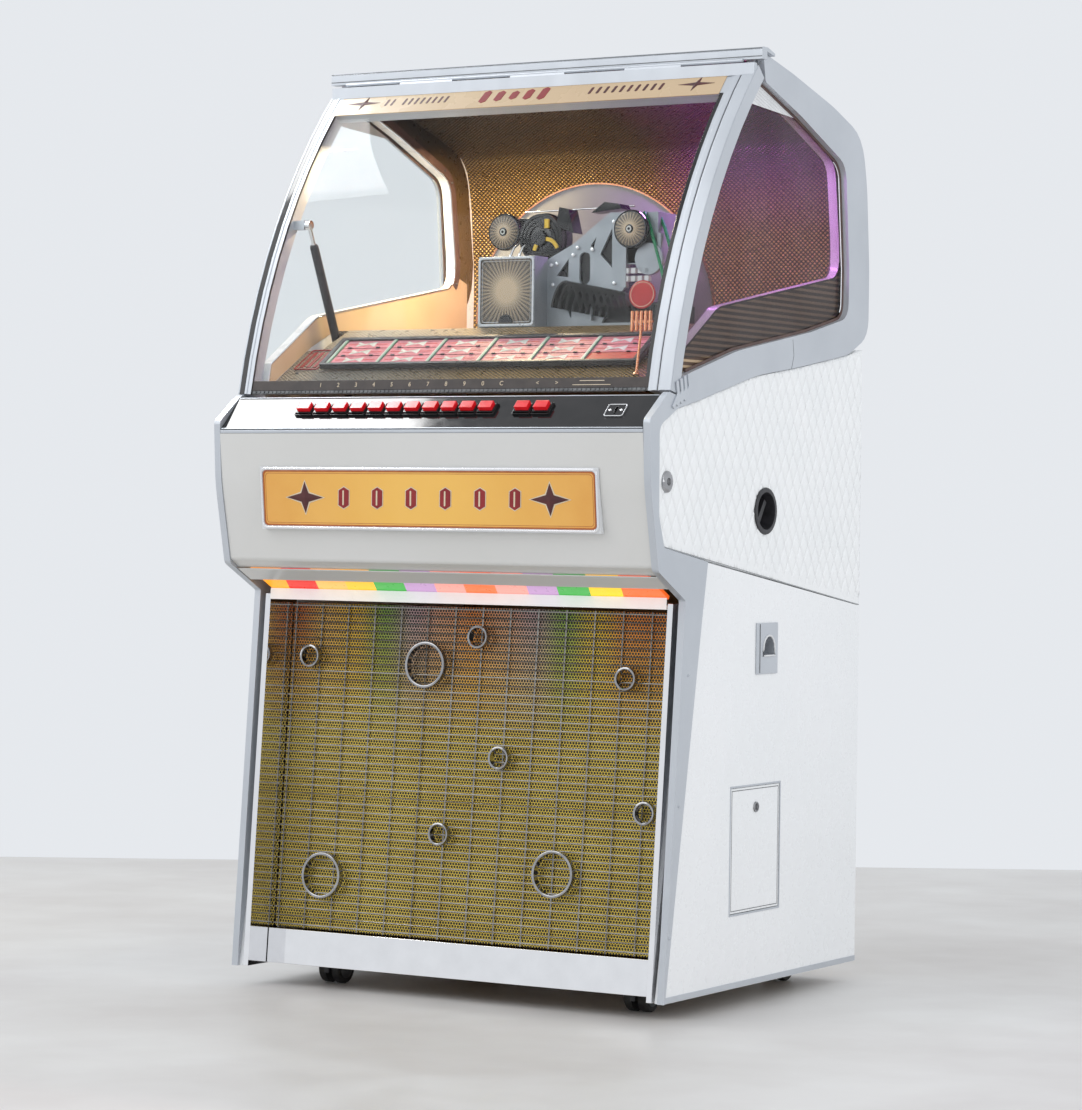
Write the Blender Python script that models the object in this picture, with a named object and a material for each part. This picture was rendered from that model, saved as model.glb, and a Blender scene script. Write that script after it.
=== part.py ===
"""Floor-standing disc jukebox: cabinet, tilting glass lid, player mechanism, keys, locks and castors.

Lengths are in metres, +Z is up, +X is the cabinet's right side and -Y is its front. Every outline is
measured from the cabinet's own corner line: y = 0 at the front edge of the plinth, z = 0 at its lower edge.
The empty "cabinet_origin" carries that corner to its place above the floor.
"""

import math

import bpy
from mathutils import Matrix, Vector

# Driving dimensions
CABINET_WIDTH = 0.810
CASTOR_GAP = 0.034
BACK_Y = 0.668
CHIN_Z = 0.6155
CHIN_Y = 0.0535
HOOD_BACK_Y = 0.684
FRONT_REACH = -0.0674
REAR_REACH = 0.6839
TRIM_THICK = 0.012
BOARD_THICK = 0.016
GLASS_THICK = 0.004
GLASS_LAP = 0.008
WINDOW_MIDDLE = Vector((0.35, 1.20))
GAP = 0.0003

# Lid
LID_FOOT = Vector((0.0, 0.936))
LID_HEAD = Vector((0.274, 1.461))
LID_RADIUS = 1.075
LID_DEPTH = 0.026
LID_AXIS = Vector((0.0, 0.268, 1.4695))
KNUCKLE_RADIUS = 0.0030
RAIL_KNUCKLES = 4
HINGE_HALF_LENGTH = 0.380
KNUCKLE_PITCH = 2 * HINGE_HALF_LENGTH / (2 * RAIL_KNUCKLES - 1)
LID_LEFT_INNER_X = 0.3800
LID_RIGHT_INNER_X = 0.3640
STRUT_X = -0.3545
STRUT_TOP = Vector((STRUT_X, 0.1245, 1.2205))
STRUT_FOOT = Vector((STRUT_X, 0.247, 0.950))

# Key panel
PANEL_CENTRE = Vector((0.0, -0.0387, 0.9035))
PANEL_ANGLE = math.radians(44.5)
PANEL_LENGTH = 0.074
KEY_PITCH = 0.0343
KEY_SIZE = Vector((0.0235, 0.0150, 0.0075))
KEY_RIM = 0.0030
KEY_POCKET_CLEARANCE = 0.0005
KEY_X = [-0.2445 + KEY_PITCH * k for k in range(11)] + [0.1644, 0.1990]
KEY_UP = 0.0065
KEY_NAMES = [f"key_{label}" for label in "1 2 3 4 5 6 7 8 9 0 clear back next".split()]
COIN_X = 0.3310

# Grille
FRONT_SLOPE = CHIN_Y / CHIN_Z
GRILLE_TILT = math.atan(FRONT_SLOPE)
GRILLE_RECESS = 0.070
GRILLE_LOW, GRILLE_HIGH = 0.060, 0.596
GRILLE_UPRIGHTS = 7
GRILLE_ROWS = 9
RINGS = [(-0.097, 0.500, 0.0365), (-0.275, 0.149, 0.0365), (0.164, 0.178, 0.0365),
         (-0.324, 0.508, 0.0175), (0.000, 0.548, 0.0175), (0.276, 0.490, 0.0175),
         (0.052, 0.356, 0.0175), (-0.053, 0.229, 0.0175), (0.3225, 0.282, 0.0175)]

# Player mechanism
DECK_TOP = 1.0512
PLATE_Y = 0.2850
MAGAZINE_LEAVES = 8

# Castors, as (name, x, y)
CASTORS = [("front_left", -0.290, 0.125), ("front_right", 0.290, 0.125),
           ("rear_left", -0.290, 0.590), ("rear_right", 0.290, 0.590)]
SWIVEL_Z = 0.0297
WHEEL_RADIUS = 0.0250

# Right-hand fittings, as (y, z) on the side
CASH_DOOR = ((0.2154, 0.1170), (0.3844, 0.3175))
COIN_RETURN = ((0.2932, 0.4945), (0.3667, 0.5762))
SIGN_HALF_WIDTH = 0.315
GRIP_CUP = (0.3208, 0.7550)
LID_LOCK = (-0.0055, 0.7970)

HALF_WIDTH = CABINET_WIDTH / 2
TRIM_INNER_X = HALF_WIDTH - TRIM_THICK
BOARD_OUTER_X = TRIM_INNER_X - GLASS_THICK - 2 * GAP
BOARD_INNER_X = BOARD_OUTER_X - BOARD_THICK
SKIN_OUTER_X = HALF_WIDTH - 0.003
POST_INNER_X = 0.3733
POST_OUTER_X = 0.3830
INSIDE_X = BOARD_INNER_X - GAP

COLOURS = {
    "satin_silver": ((0.56, 0.58, 0.61), 0.34, 0.75),
    "white_gloss": ((0.82, 0.83, 0.85), 0.30, 0.0),
    "white_quilted": ((0.80, 0.82, 0.85), 0.36, 0.0),
    "warm_white": ((0.74, 0.74, 0.69), 0.32, 0.0),
    "chrome": ((0.82, 0.83, 0.85), 0.08, 1.0),
    "black_plastic": ((0.012, 0.012, 0.014), 0.32, 0.0),
    "red_plastic": ((0.75, 0.02, 0.015), 0.25, 0.0),
    "amber_acrylic": ((0.86, 0.50, 0.14), 0.28, 0.0),
    "rainbow_diffuser": ((0.90, 0.55, 0.30), 0.40, 0.0),
    "gold_mesh": ((0.72, 0.52, 0.12), 0.40, 0.8),
    "gold_dimpled": ((0.55, 0.36, 0.13), 0.38, 0.8),
    "clear_glass": ((0.85, 0.90, 0.90), 0.05, 0.0),
    "smoked_glass": ((0.42, 0.40, 0.38), 0.05, 0.0),
    "card_pink": ((0.75, 0.25, 0.32), 0.45, 0.0),
    "grey_metal": ((0.42, 0.44, 0.47), 0.38, 0.8),
    "pale_grey": ((0.60, 0.60, 0.58), 0.45, 0.0),
    "disc_film": ((0.10, 0.10, 0.11), 0.20, 0.4),
    "rubber": ((0.02, 0.02, 0.02), 0.70, 0.0),
    "plywood": ((0.30, 0.22, 0.14), 0.75, 0.0),
}


# ---------------------------------------------------------------- scene helpers

def clear_scene():
    for obj in list(bpy.data.objects):
        bpy.data.objects.remove(obj, do_unlink=True)


def material(name):
    """The Principled material of that name, made once."""
    existing = bpy.data.materials.get(name)
    if existing:
        return existing
    colour, roughness, metallic = COLOURS[name]
    made = bpy.data.materials.new(name)
    made.use_nodes = True
    shader = made.node_tree.nodes["Principled BSDF"]
    shader.inputs["Base Color"].default_value = (*colour, 1.0)
    shader.inputs["Roughness"].default_value = roughness
    shader.inputs["Metallic"].default_value = metallic
    if "glass" in name:
        shader.inputs["Transmission Weight"].default_value = 0.9
        made.diffuse_color = (*colour, 0.35)
    else:
        made.diffuse_color = (*colour, 1.0)
    return made


def add_object(name, vertices, faces, finish, origin=(0, 0, 0), parent=None, spin=None):
    """A mesh object whose vertices are in the cabinet's frame and whose origin is the given point."""
    origin = Vector(origin)
    mesh = bpy.data.meshes.new(name)
    mesh.from_pydata([Vector(v) - origin for v in vertices], [], faces)
    mesh.validate()
    obj = bpy.data.objects.new(name, mesh)
    bpy.context.scene.collection.objects.link(obj)
    obj.parent = parent or bpy.data.objects["cabinet_origin"]
    obj.location = origin
    if spin:
        obj.rotation_euler = spin
    if finish:
        mesh.materials.append(material(finish))
    return obj


def as_tool(obj):
    """Marks a cutter or a joined shape, which isn't a part of its own."""
    obj.hide_render = True
    obj.display_type = "WIRE"
    return obj


def combine(target, tool, operation):
    as_tool(tool)
    step = target.modifiers.new(tool.name, "BOOLEAN")
    step.operation = operation
    step.solver = "EXACT"
    step.object = tool
    return target


def cut(target, tool):
    return combine(target, tool, "DIFFERENCE")


def join(target, *tools):
    for tool in tools:
        combine(target, tool, "UNION")
    return target


# ---------------------------------------------------------------- outline helpers

def mix(a, b, t):
    return Vector(a) + (Vector(b) - Vector(a)) * t


def filleted(corners, steps=4):
    """A closed outline from (y, z, radius) corners, each rounded by an arc of its radius."""
    points = []
    count = len(corners)
    for i, (y, z, radius) in enumerate(corners):
        here = Vector((y, z))
        if radius <= 0:
            points.append(here)
            continue
        before = Vector(corners[i - 1][:2]) - here
        after = Vector(corners[(i + 1) % count][:2]) - here
        half = before.angle(after) / 2
        reach = min(radius / math.tan(half), before.length * 0.48, after.length * 0.48)
        radius = reach * math.tan(half)
        bisector = (before.normalized() + after.normalized()).normalized()
        centre = here + bisector * (radius / math.sin(half))
        start = here + before.normalized() * reach - centre
        end = here + after.normalized() * reach - centre
        sweep = start.angle_signed(end)
        for k in range(steps + 1):
            turned = start.copy()
            turned.rotate(Matrix.Rotation(-sweep * k / steps, 2))
            points.append(centre + turned)
    return points


def arc_between(start, end, radius, steps, inset=0.0):
    """Points on the arc from start to end that bulges to the left of the way from start to end."""
    start, end = Vector(start), Vector(end)
    chord = end - start
    left = Vector((-chord.y, chord.x)).normalized()
    drop = math.sqrt(radius ** 2 - (chord.length / 2) ** 2)
    centre = (start + end) / 2 - left * drop
    first = math.atan2(*(start - centre).yx)
    last = math.atan2(*(end - centre).yx)
    size = radius - inset
    angles = [first + (last - first) * k / steps for k in range(steps + 1)]
    return [centre + Vector((math.cos(a), math.sin(a))) * size for a in angles]


def offset_path(path, distance):
    """The open path moved to its right by a distance, with mitred corners."""
    path = [Vector(p) for p in path]
    normals = []
    for a, b in zip(path, path[1:]):
        way = (b - a).normalized()
        normals.append(Vector((way.y, -way.x)))
    moved = [path[0] + normals[0] * distance]
    for point, n0, n1 in zip(path[1:-1], normals, normals[1:]):
        mitre = (n0 + n1).normalized()
        moved.append(point + mitre * distance / mitre.dot(n0))
    moved.append(path[-1] + normals[-1] * distance)
    return moved


def strip(path, thickness):
    """The closed outline of a sheet that follows an open path, with its thickness on the path's right."""
    return list(path) + offset_path(path, thickness)[::-1]


# ---------------------------------------------------------------- solid helpers

def signed_area(points):
    return sum(a[0] * b[1] - b[0] * a[1] for a, b in zip(points, points[1:] + points[:1])) / 2


def prism(name, outline, low, high, finish, axis="X", **where):
    """A solid between low and high along an axis; the outline is (y, z) for X, (x, z) for Y, (x, y) for Z."""
    place = {
        "X": lambda p, h: (h, p[0], p[1]),
        "Y": lambda p, h: (p[0], h, p[1]),
        "Z": lambda p, h: (p[0], p[1], h),
    }[axis]
    points = [Vector(p) for p in outline]
    turns_right = signed_area(points) < 0
    if turns_right != (axis == "Y"):
        points.reverse()
    count = len(points)
    vertices = [place(p, low) for p in points] + [place(p, high) for p in points]
    faces = [tuple(reversed(range(count))), tuple(range(count, 2 * count))]
    for i in range(count):
        j = (i + 1) % count
        faces.append((i, j, j + count, i + count))
    return add_object(name, vertices, faces, finish, **where)


def box(name, low, high, finish, **where):
    corners = [(low[1], low[2]), (high[1], low[2]), (high[1], high[2]), (low[1], high[2])]
    return prism(name, corners, low[0], high[0], finish, **where)


def turned(name, outline, centre, direction, finish, segments=24, ring=False, **where):
    """A lathe solid from (radius, height) points, bottom to top, about an axis through centre."""
    frame = Vector(direction).normalized().to_track_quat("Z", "Y").to_matrix()
    centre = Vector(centre)
    vertices = []
    for radius, height in outline:
        for k in range(segments):
            a = math.tau * k / segments
            local = Vector((radius * math.cos(a), radius * math.sin(a), height))
            vertices.append(centre + frame @ local)
    faces = []
    rows = len(outline)
    for row in range(rows if ring else rows - 1):
        upper = (row + 1) % rows
        for k in range(segments):
            n = (k + 1) % segments
            faces.append((row * segments + k, row * segments + n, upper * segments + n,
                          upper * segments + k))
    if not ring:
        faces.append(tuple(reversed(range(segments))))
        faces.append(tuple(range((rows - 1) * segments, rows * segments)))
    obj = add_object(name, vertices, faces, finish, **where)
    obj.data.shade_smooth()
    obj.data.set_sharp_from_angle(angle=math.radians(35))
    return obj


def rod(name, start, end, radius, finish, segments=16, **where):
    start, end = Vector(start), Vector(end)
    outline = [(radius, 0), (radius, (end - start).length)]
    return turned(name, outline, start, end - start, finish, segments, **where)


def torus(name, centre, direction, radius, tube, finish, segments=24, sides=8, **where):
    outline = []
    for k in range(sides):
        a = math.tau * k / sides
        outline.append((radius + tube * math.cos(a), tube * math.sin(a)))
    return turned(name, outline, centre, direction, finish, segments, ring=True, **where)


def on_side(side, inner, outer):
    """The x range between two distances from the middle, on the left (-1) or the right (+1)."""
    return sorted((side * inner, side * outer))


# ---------------------------------------------------------------- side outlines, as (y, z)

def front_y(z):
    return FRONT_SLOPE * z


def hood_top():
    """The hood's upper edge, from the lid's hinge to the rounded shoulder and down its back."""
    return [(0.288, 1.4835, 0), (0.393, 1.461, 0.5), (0.540, 1.4235, 0.5), (0.652, 1.385, 0.075),
            (0.672, 1.300, 0.3), (HOOD_BACK_Y, 1.165, 0.4), (0.6835, 1.052, 0.045)]


def hood_bottom():
    """The hood's lower edge, from its back corner to the belly's front."""
    return [(0.608, 1.0175, 0.12), (0.446, 0.992, 0), (0.276, 0.969, 0.5), (0.0987, 0.926, 0.4),
            (0.022, 0.9095, 0.05), (-0.0346, 0.881, 0.02)]


def window_edge():
    """The trim's window edge, from the top front round the back to the lid's foot."""
    return [(0.2985, 1.4370, 0), (0.424, 1.396, 0.5), (0.5905, 1.332, 0.040), (0.6075, 1.160, 0.3),
            (0.6065, 1.0790, 0.030), (0.470, 1.0487, 0), (0.216, 1.0066, 0.5), (0.0625, 0.966, 0)]


def clear_edge():
    """The board's window edge, which stands above the trim's on the lower side as a skirt."""
    return [(0.2985, 1.4360, 0), (0.424, 1.395, 0.5), (0.583, 1.334, 0.040), (0.603, 1.190, 0.3),
            (0.600, 1.1480, 0.030), (0.178, 1.0735, 0.06), (0.0450, 0.9880, 0)]


def belly_edge():
    """The trim's front edge from the key panel's top to the chin."""
    return [(-0.0135, 0.9285, 0.01), (-0.0655, 0.890, 0.012), (-0.0600, 0.790, 0.3),
            (-0.0325, 0.660, 0.012), (CHIN_Y, CHIN_Z, 0.004)]


def lid_back(inset):
    return arc_between(LID_FOOT, LID_HEAD, LID_RADIUS, 10, inset)


def trim_outline():
    band = [(0.0, 0.0, 0), (0.0045, 0.0, 0), (0.1087, 0.5894, 0.04), (0.1250, 0.6745, 0),
            (-0.0155, 0.6965, 0), (-0.0330, 0.745, 0)]
    window = window_edge()
    loop = hood_top() + hood_bottom()
    lid_seat = [(-0.0045, 0.9335, 0), (0.0270, 0.9275, 0), (0.0297, 0.9400, 0), (0.0352, 0.9585, 0)]
    return filleted(loop + band[::-1] + belly_edge()[::-1] + lid_seat + window[::-1] + [(0.2955, 1.4450,
                                                                                         0)])


def board_outline():
    """The structural side board: hood and window at the top, cut back behind belly and grille."""
    hood = [(0.292, 1.480, 0), (0.393, 1.457, 0.5), (0.539, 1.4195, 0.5), (0.648, 1.382, 0.072),
            (0.668, 1.300, 0.3), (0.680, 1.165, 0.4), (0.6795, 1.054, 0.042), (BACK_Y, 1.040, 0)]
    foot = [(BACK_Y, 0.0, 0), (front_y(0) + 0.0795, 0.0, 0), (front_y(CHIN_Z) + 0.0795, CHIN_Z + 0.012, 0),
            (-0.012, 0.672, 0.012), (-0.0455, 0.800, 0.2), (-0.0480, 0.868, 0.01), (0.005, 0.914, 0.01),
            (0.0290, 0.9265, 0), (0.0345, 0.9450, 0)]
    return filleted(hood + foot + clear_edge()[::-1])


def quilt_outline():
    edge = [(y + 0.0010, z - 0.0014, r) for y, z, r in hood_bottom()]
    corners = edge + [(-0.0321, 0.7455, 0), (-0.0146, 0.6978, 0), (BACK_Y, 0.5995, 0), (BACK_Y, 1.0285, 0)]
    return filleted(corners)


def lower_skin_outline():
    return [(0.0053, 0.0), (BACK_Y, 0.0), (BACK_Y, 0.5985), (0.1258, 0.6738), (0.1098, 0.5890)]


# ---------------------------------------------------------------- cabinet

def add_sides():
    for side, word in ((-1, "left"), (1, "right")):
        board = prism(f"{word}_side_board", board_outline(), *on_side(side, BOARD_INNER_X, BOARD_OUTER_X),
                      "white_gloss")
        skin = prism(f"{word}_lower_skin", lower_skin_outline(),
                     *on_side(side, BOARD_OUTER_X - 0.002, SKIN_OUTER_X), "white_gloss")
        join(board, skin)
        prism(f"{word}_trim_frame", trim_outline(), *on_side(side, TRIM_INNER_X + GAP, HALF_WIDTH),
              "satin_silver")
        prism(f"{word}_quilted_panel", quilt_outline(),
              *on_side(side, BOARD_OUTER_X + GAP, SKIN_OUTER_X - 0.001),
              "white_quilted")
        grown = [(y + (GLASS_LAP if y > WINDOW_MIDDLE.x else 0.0),
                  z + (GLASS_LAP if z > WINDOW_MIDDLE.y else -GLASS_LAP), r) for y, z, r in window_edge()]
        glass = filleted(grown[:-1] + lid_gap_corners())
        prism(f"{word}_side_glass", glass, *on_side(side, BOARD_OUTER_X + GAP, BOARD_OUTER_X + GLASS_THICK),
              "clear_glass" if side < 0 else "smoked_glass")


def lid_gap_corners():
    """The side glass's front edge, which runs just behind the lid's posts."""
    edge = lid_back(LID_DEPTH + 0.002)
    return [(p.x, p.y, 0) for p in edge if 0.965 < p.y < 1.435]


def add_base():
    box("base_board", (-INSIDE_X, 0.080, 0.030), (INSIDE_X, 0.6470, 0.046), "plywood")
    box("back_panel", (-INSIDE_X, 0.6495, 0.002), (INSIDE_X, BACK_Y, 1.038), "plywood")
    path = filleted([(0.300, 1.4795, 0), (0.393, 1.4565, 0), (0.539, 1.4190, 0.5), (0.6475, 1.381, 0.072),
                     (0.6675, 1.300, 0.3), (0.6795, 1.165, 0.4), (0.6790, 1.0400, 0)])[:-1]
    path.append(Vector((0.6790, 1.0395)))
    prism("canopy_shell", strip(path, 0.010), -INSIDE_X, INSIDE_X, "gold_dimpled")
    deck = strip([(0.030, 0.9420), (0.1600, 1.0195), (0.2300, 1.0510), (0.6480, 1.0510)], 0.006)
    deck = prism("deck", deck, -INSIDE_X, INSIDE_X, "gold_dimpled")
    slot = box("deck_strut_slot", (-0.40, 0.150, 0.98), (-0.3435, 0.235, 1.10), None)
    cut(deck, slot)


def add_top_rail():
    rail = [(0.2700, 1.4710, 0), (0.2870, 1.4710, 0), (0.2870, 1.4842, 0), (0.3140, 1.4790, 0),
            (0.3140, 1.4835, 0), (0.2900, 1.4905, 0.004), (0.2700, 1.4905, 0.006)]
    end = HALF_WIDTH + 0.0075
    obj = prism("top_rail", filleted(rail), -end, end, "satin_silver")
    y, z = LID_AXIS.yz
    pitch = KNUCKLE_PITCH
    for k in range(RAIL_KNUCKLES):
        x = 2 * k * pitch - HINGE_HALF_LENGTH
        join(obj, rod(f"rail_knuckle_{k}", (x, y, z), (x + pitch - 0.001, y, z), KNUCKLE_RADIUS, None, 10))
        if k < RAIL_KNUCKLES - 1:
            start, end = (x + pitch, y, z), (x + 2 * pitch - 0.001, y, z)
            cut(obj, rod(f"rail_room_{k}", start, end, KNUCKLE_RADIUS + 0.0006, None, 10))


def add_belly():
    path = filleted([(-0.0652, 0.8700, 0), (-0.0578, 0.790, 0.3), (-0.0315, 0.6665, 0.010),
                     (-0.008, 0.6530, 0)])
    prism("belly_panel", strip(path, -0.008), -TRIM_INNER_X, TRIM_INNER_X, "warm_white")
    sign = [(-0.0537, 0.7165), (-0.0635, 0.8170), (-0.0609, 0.8170), (-0.0584, 0.7902), (-0.0428, 0.7165)]
    prism("sign_panel", sign, -SIGN_HALF_WIDTH, SIGN_HALF_WIDTH, "amber_acrylic")
    light = strip([(-0.0070, 0.6505), (0.0600, 0.6165)], -0.006)
    prism("light_strip", light, -INSIDE_X, INSIDE_X, "rainbow_diffuser")


def panel_point(x, up, out):
    """A point on the sloping key panel: across, up the slope and out of its face."""
    slope = Matrix.Rotation(PANEL_ANGLE, 3, "X")
    return PANEL_CENTRE + slope @ Vector((x, up, out))


def panel_box(name, low, high, finish, **where):
    """A box set square to the key panel, its origin at the middle of its lower face."""
    middle = (Vector(low) + Vector(high)) / 2
    middle.z = low[2]
    half = (Vector(high) - Vector(low)) / 2
    lift = Vector((0, 0, half.z))
    obj = box(name, lift - half, lift + half, finish, **where)
    obj.location = panel_point(*middle)
    obj.rotation_euler = (PANEL_ANGLE, 0, 0)
    return obj


def add_key_panel():
    half = PANEL_LENGTH / 2
    panel = panel_box("control_panel", (-TRIM_INNER_X, -half, -0.008), (TRIM_INNER_X, half, -0.0010),
                      "black_plastic")
    edge = KEY_POCKET_CLEARANCE
    for name, x in zip(KEY_NAMES, KEY_X):
        sx, sy = KEY_SIZE.x / 2, KEY_SIZE.y / 2
        base = panel_box(f"{name}_base", (x - sx - KEY_RIM, KEY_UP - sy - KEY_RIM, -0.004),
                         (x + sx + KEY_RIM, KEY_UP + sy + KEY_RIM, 0.0045), None)
        well = panel_box(f"{name}_well", (x - sx - edge, KEY_UP - sy - edge, 0.0),
                         (x + sx + edge, KEY_UP + sy + edge, 0.010), None)
        join(panel, base)
        cut(panel, well)
        panel_box(name, (x - sx, KEY_UP - sy, 0.0035), (x + sx, KEY_UP + sy, 0.0035 + KEY_SIZE.z),
                  "red_plastic")
    slot_plate = panel_box("coin_slot_plate", (COIN_X - 0.016, -0.012, -GAP),
                           (COIN_X + 0.016, 0.0120, 0.0022),
                           "chrome")
    cut(slot_plate, panel_box("coin_slot_cut", (COIN_X - 0.0020, -0.0085, -0.004),
                              (COIN_X + 0.0025, 0.0085, 0.006),
                              None))
    cut(panel, panel_box("coin_panel_cut", (COIN_X - 0.0020, -0.0085, -0.014),
                         (COIN_X + 0.0025, 0.0085, 0.004),
                         None))


# ---------------------------------------------------------------- grille

def tilt_back(obj, recess):
    """Sets a piece that was built upright at y = 0 into the sloping front, at a depth behind its face."""
    obj.rotation_euler = (-GRILLE_TILT, 0, 0)
    obj.location = (0, recess, 0)
    return obj


def add_grille():
    wide = INSIDE_X - GAP
    tilt_back(box("grille_sheet", (-wide, 0, GRILLE_LOW), (wide, 0.0015, GRILLE_HIGH), "gold_mesh"),
              GRILLE_RECESS)
    outermost = 0.351
    posts = [outermost * (2 * k / (GRILLE_UPRIGHTS - 1) - 1) for k in range(GRILLE_UPRIGHTS)]
    grid = box("grille_grid", (posts[0] - 0.002, -0.0045, GRILLE_LOW),
               (posts[0] + 0.002, -0.0015, GRILLE_HIGH),
               "chrome")

    def add_bar(name, x0, x1, back, front, z0, z1):
        join(grid, box(name, (x0, -front, z0), (x1, -back, z1), None, parent=grid))

    for k, x in enumerate(posts[1:]):
        add_bar(f"grille_upright_{k}", x - 0.002, x + 0.002, 0.0015, 0.0045, GRILLE_LOW, GRILLE_HIGH)
    margin = 0.012
    for k in range(GRILLE_ROWS):
        z = GRILLE_LOW + margin + (GRILLE_HIGH - GRILLE_LOW - 2 * margin) * k / (GRILLE_ROWS - 1)
        add_bar(f"grille_wire_{k}", -wide, wide, 0.0035, 0.0065, z - 0.0012, z + 0.0012)
    for k, (x, z, radius) in enumerate(RINGS):
        wall = 0.004 if radius > 0.03 else 0.003
        outline = [(radius - wall, 0), (radius, 0), (radius + 0.002, 0.014), (radius - wall + 0.002, 0.014)]
        join(grid, turned(f"grille_ring_{k}", outline, (x, -0.0042, z), (0, -1, 0), None, 16, ring=True,
                          parent=grid))
        nearest = min(posts, key=lambda post: abs(post - x))
        low = min(x - radius + 0.001, nearest - 0.001)
        high = max(x + radius - 0.001, nearest + 0.001)
        add_bar(f"ring_bridge_{k}", low, high, 0.0036, 0.0062, z - 0.0011, z + 0.0011)
    tilt_back(grid, GRILLE_RECESS)


def add_grille_surround():
    reach = 0.078
    foot, head = 0.001, 0.610
    post = [(front_y(foot) + 0.001, foot), (front_y(foot) + reach, foot),
            (front_y(head) + reach, head), (front_y(head) + 0.001, head)]
    posts = []
    for side, word in ((-1, "left"), (1, "right")):
        posts.append(prism(f"{word}_grille_post", post, *on_side(side, POST_INNER_X, POST_OUTER_X), None))
    lintel = [(front_y(0.6) + 0.006, 0.6005), (front_y(0.6) + 0.060, 0.6005),
              (front_y(0.61) + 0.060, 0.6075),
              (front_y(0.61) + 0.006, 0.6075)]
    surround = prism("grille_surround", lintel, -0.380, 0.380, "chrome")
    join(surround, *posts)
    kick = [(front_y(0.002) + 0.053, 0.002), (front_y(0.002) + 0.061, 0.002),
            (front_y(0.0585) + 0.061, 0.0585),
            (front_y(0.0585) + 0.053, 0.0585)]
    prism("kick_plate", kick, -INSIDE_X, INSIDE_X, "chrome")


# ---------------------------------------------------------------- title rack

def add_title_rack():
    low, high = Vector((0.0820, 0.9785)), Vector((0.1560, 1.0230))
    way = (high - low).normalized()
    up = Vector((-way.y, way.x))
    outline = [low + up * 0.0008, high + up * 0.0008, high + up * 0.0100, low + up * 0.0060]
    prism("title_rack", outline, -0.300, 0.300, "card_pink")


# ---------------------------------------------------------------- lid

def add_lid():
    left_inner, right_inner = LID_LEFT_INNER_X, LID_RIGHT_INNER_X
    outer = HALF_WIDTH - 0.0005
    front = lid_back(0.0)
    back = lid_back(LID_DEPTH)
    side_shape = front + back[::-1]
    cross = lid_back(0.003)
    lower, upper = cross[0], cross[-1]
    origin = LID_AXIS
    frame = prism("lid_frame", side_shape, -outer, -left_inner, "satin_silver", origin=origin)
    join(frame, prism("lid_right_post", side_shape, right_inner, outer, None, origin=origin))
    along = (cross[1] - cross[0]).normalized()
    deep = lid_back(0.014)[0]
    foot_rail = [lower + along * 0.001, lower + along * 0.022, deep + along * 0.022, deep + along * 0.001]
    join(frame, prism("lid_foot_rail", foot_rail, -left_inner - 0.004, right_inner + 0.004, None,
                      origin=origin))
    head, tail = lid_back(0.001)[-2:], lid_back(0.020)[-2:]
    header = [head[0], mix(*head, 0.97), mix(*tail, 0.97), tail[0]]
    join(frame, prism("lid_header", header, -left_inner - 0.004, right_inner + 0.004, None, origin=origin))
    leaf_top = LID_AXIS.z - KNUCKLE_RADIUS - 0.0020
    top_bar = [(LID_AXIS.y - 0.0080, leaf_top), (LID_AXIS.y + 0.0015, leaf_top),
               (upper.x - 0.004, upper.y - 0.010),
               (upper.x - 0.0170, upper.y - 0.0135)]
    join(frame, prism("lid_top_bar", top_bar, -outer + 0.001, outer - 0.001, None, origin=origin))
    pitch = KNUCKLE_PITCH
    for k in range(RAIL_KNUCKLES - 1):
        x = (2 * k + 1) * pitch - HINGE_HALF_LENGTH
        leaf = [(LID_AXIS.y - 0.0025, LID_AXIS.z), (LID_AXIS.y + 0.0020, LID_AXIS.z),
                (LID_AXIS.y + 0.0010, leaf_top - 0.004), (LID_AXIS.y - 0.0060, leaf_top - 0.004)]
        join(frame, prism(f"lid_leaf_{k}", leaf, x + 0.002, x + pitch - 0.003, None, origin=origin))
        join(frame, rod(f"lid_knuckle_{k}", (x + 0.001, LID_AXIS.y, LID_AXIS.z),
                        (x + pitch - 0.002, LID_AXIS.y,
                         LID_AXIS.z), KNUCKLE_RADIUS, None, 10, origin=origin))
    ear = 0.0075
    bracket = [(STRUT_TOP.y - ear, STRUT_TOP.z - ear), (STRUT_TOP.y + ear, STRUT_TOP.z - ear),
               (STRUT_TOP.y + ear, STRUT_TOP.z + ear), (STRUT_TOP.y - ear, STRUT_TOP.z + ear)]
    join(frame, prism("lid_strut_bracket", bracket, -left_inner - 0.002, STRUT_X - 0.0048, None,
                      origin=origin))
    step = (front[1] - front[0]).normalized()
    pane_front = lid_back(0.005)
    pane_back = lid_back(0.009)
    pane = [pane_front[0] + step * 0.0225] + pane_front[1:-2] + [mix(pane_front[-2], pane_front[-3], 0.02)]
    rear = [pane_back[0] + step * 0.0225] + pane_back[1:-2] + [mix(pane_back[-2], pane_back[-3], 0.02)]
    prism("lid_glass", pane + rear[::-1], -left_inner + GAP, right_inner - GAP, "clear_glass",
          origin=origin)


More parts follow.
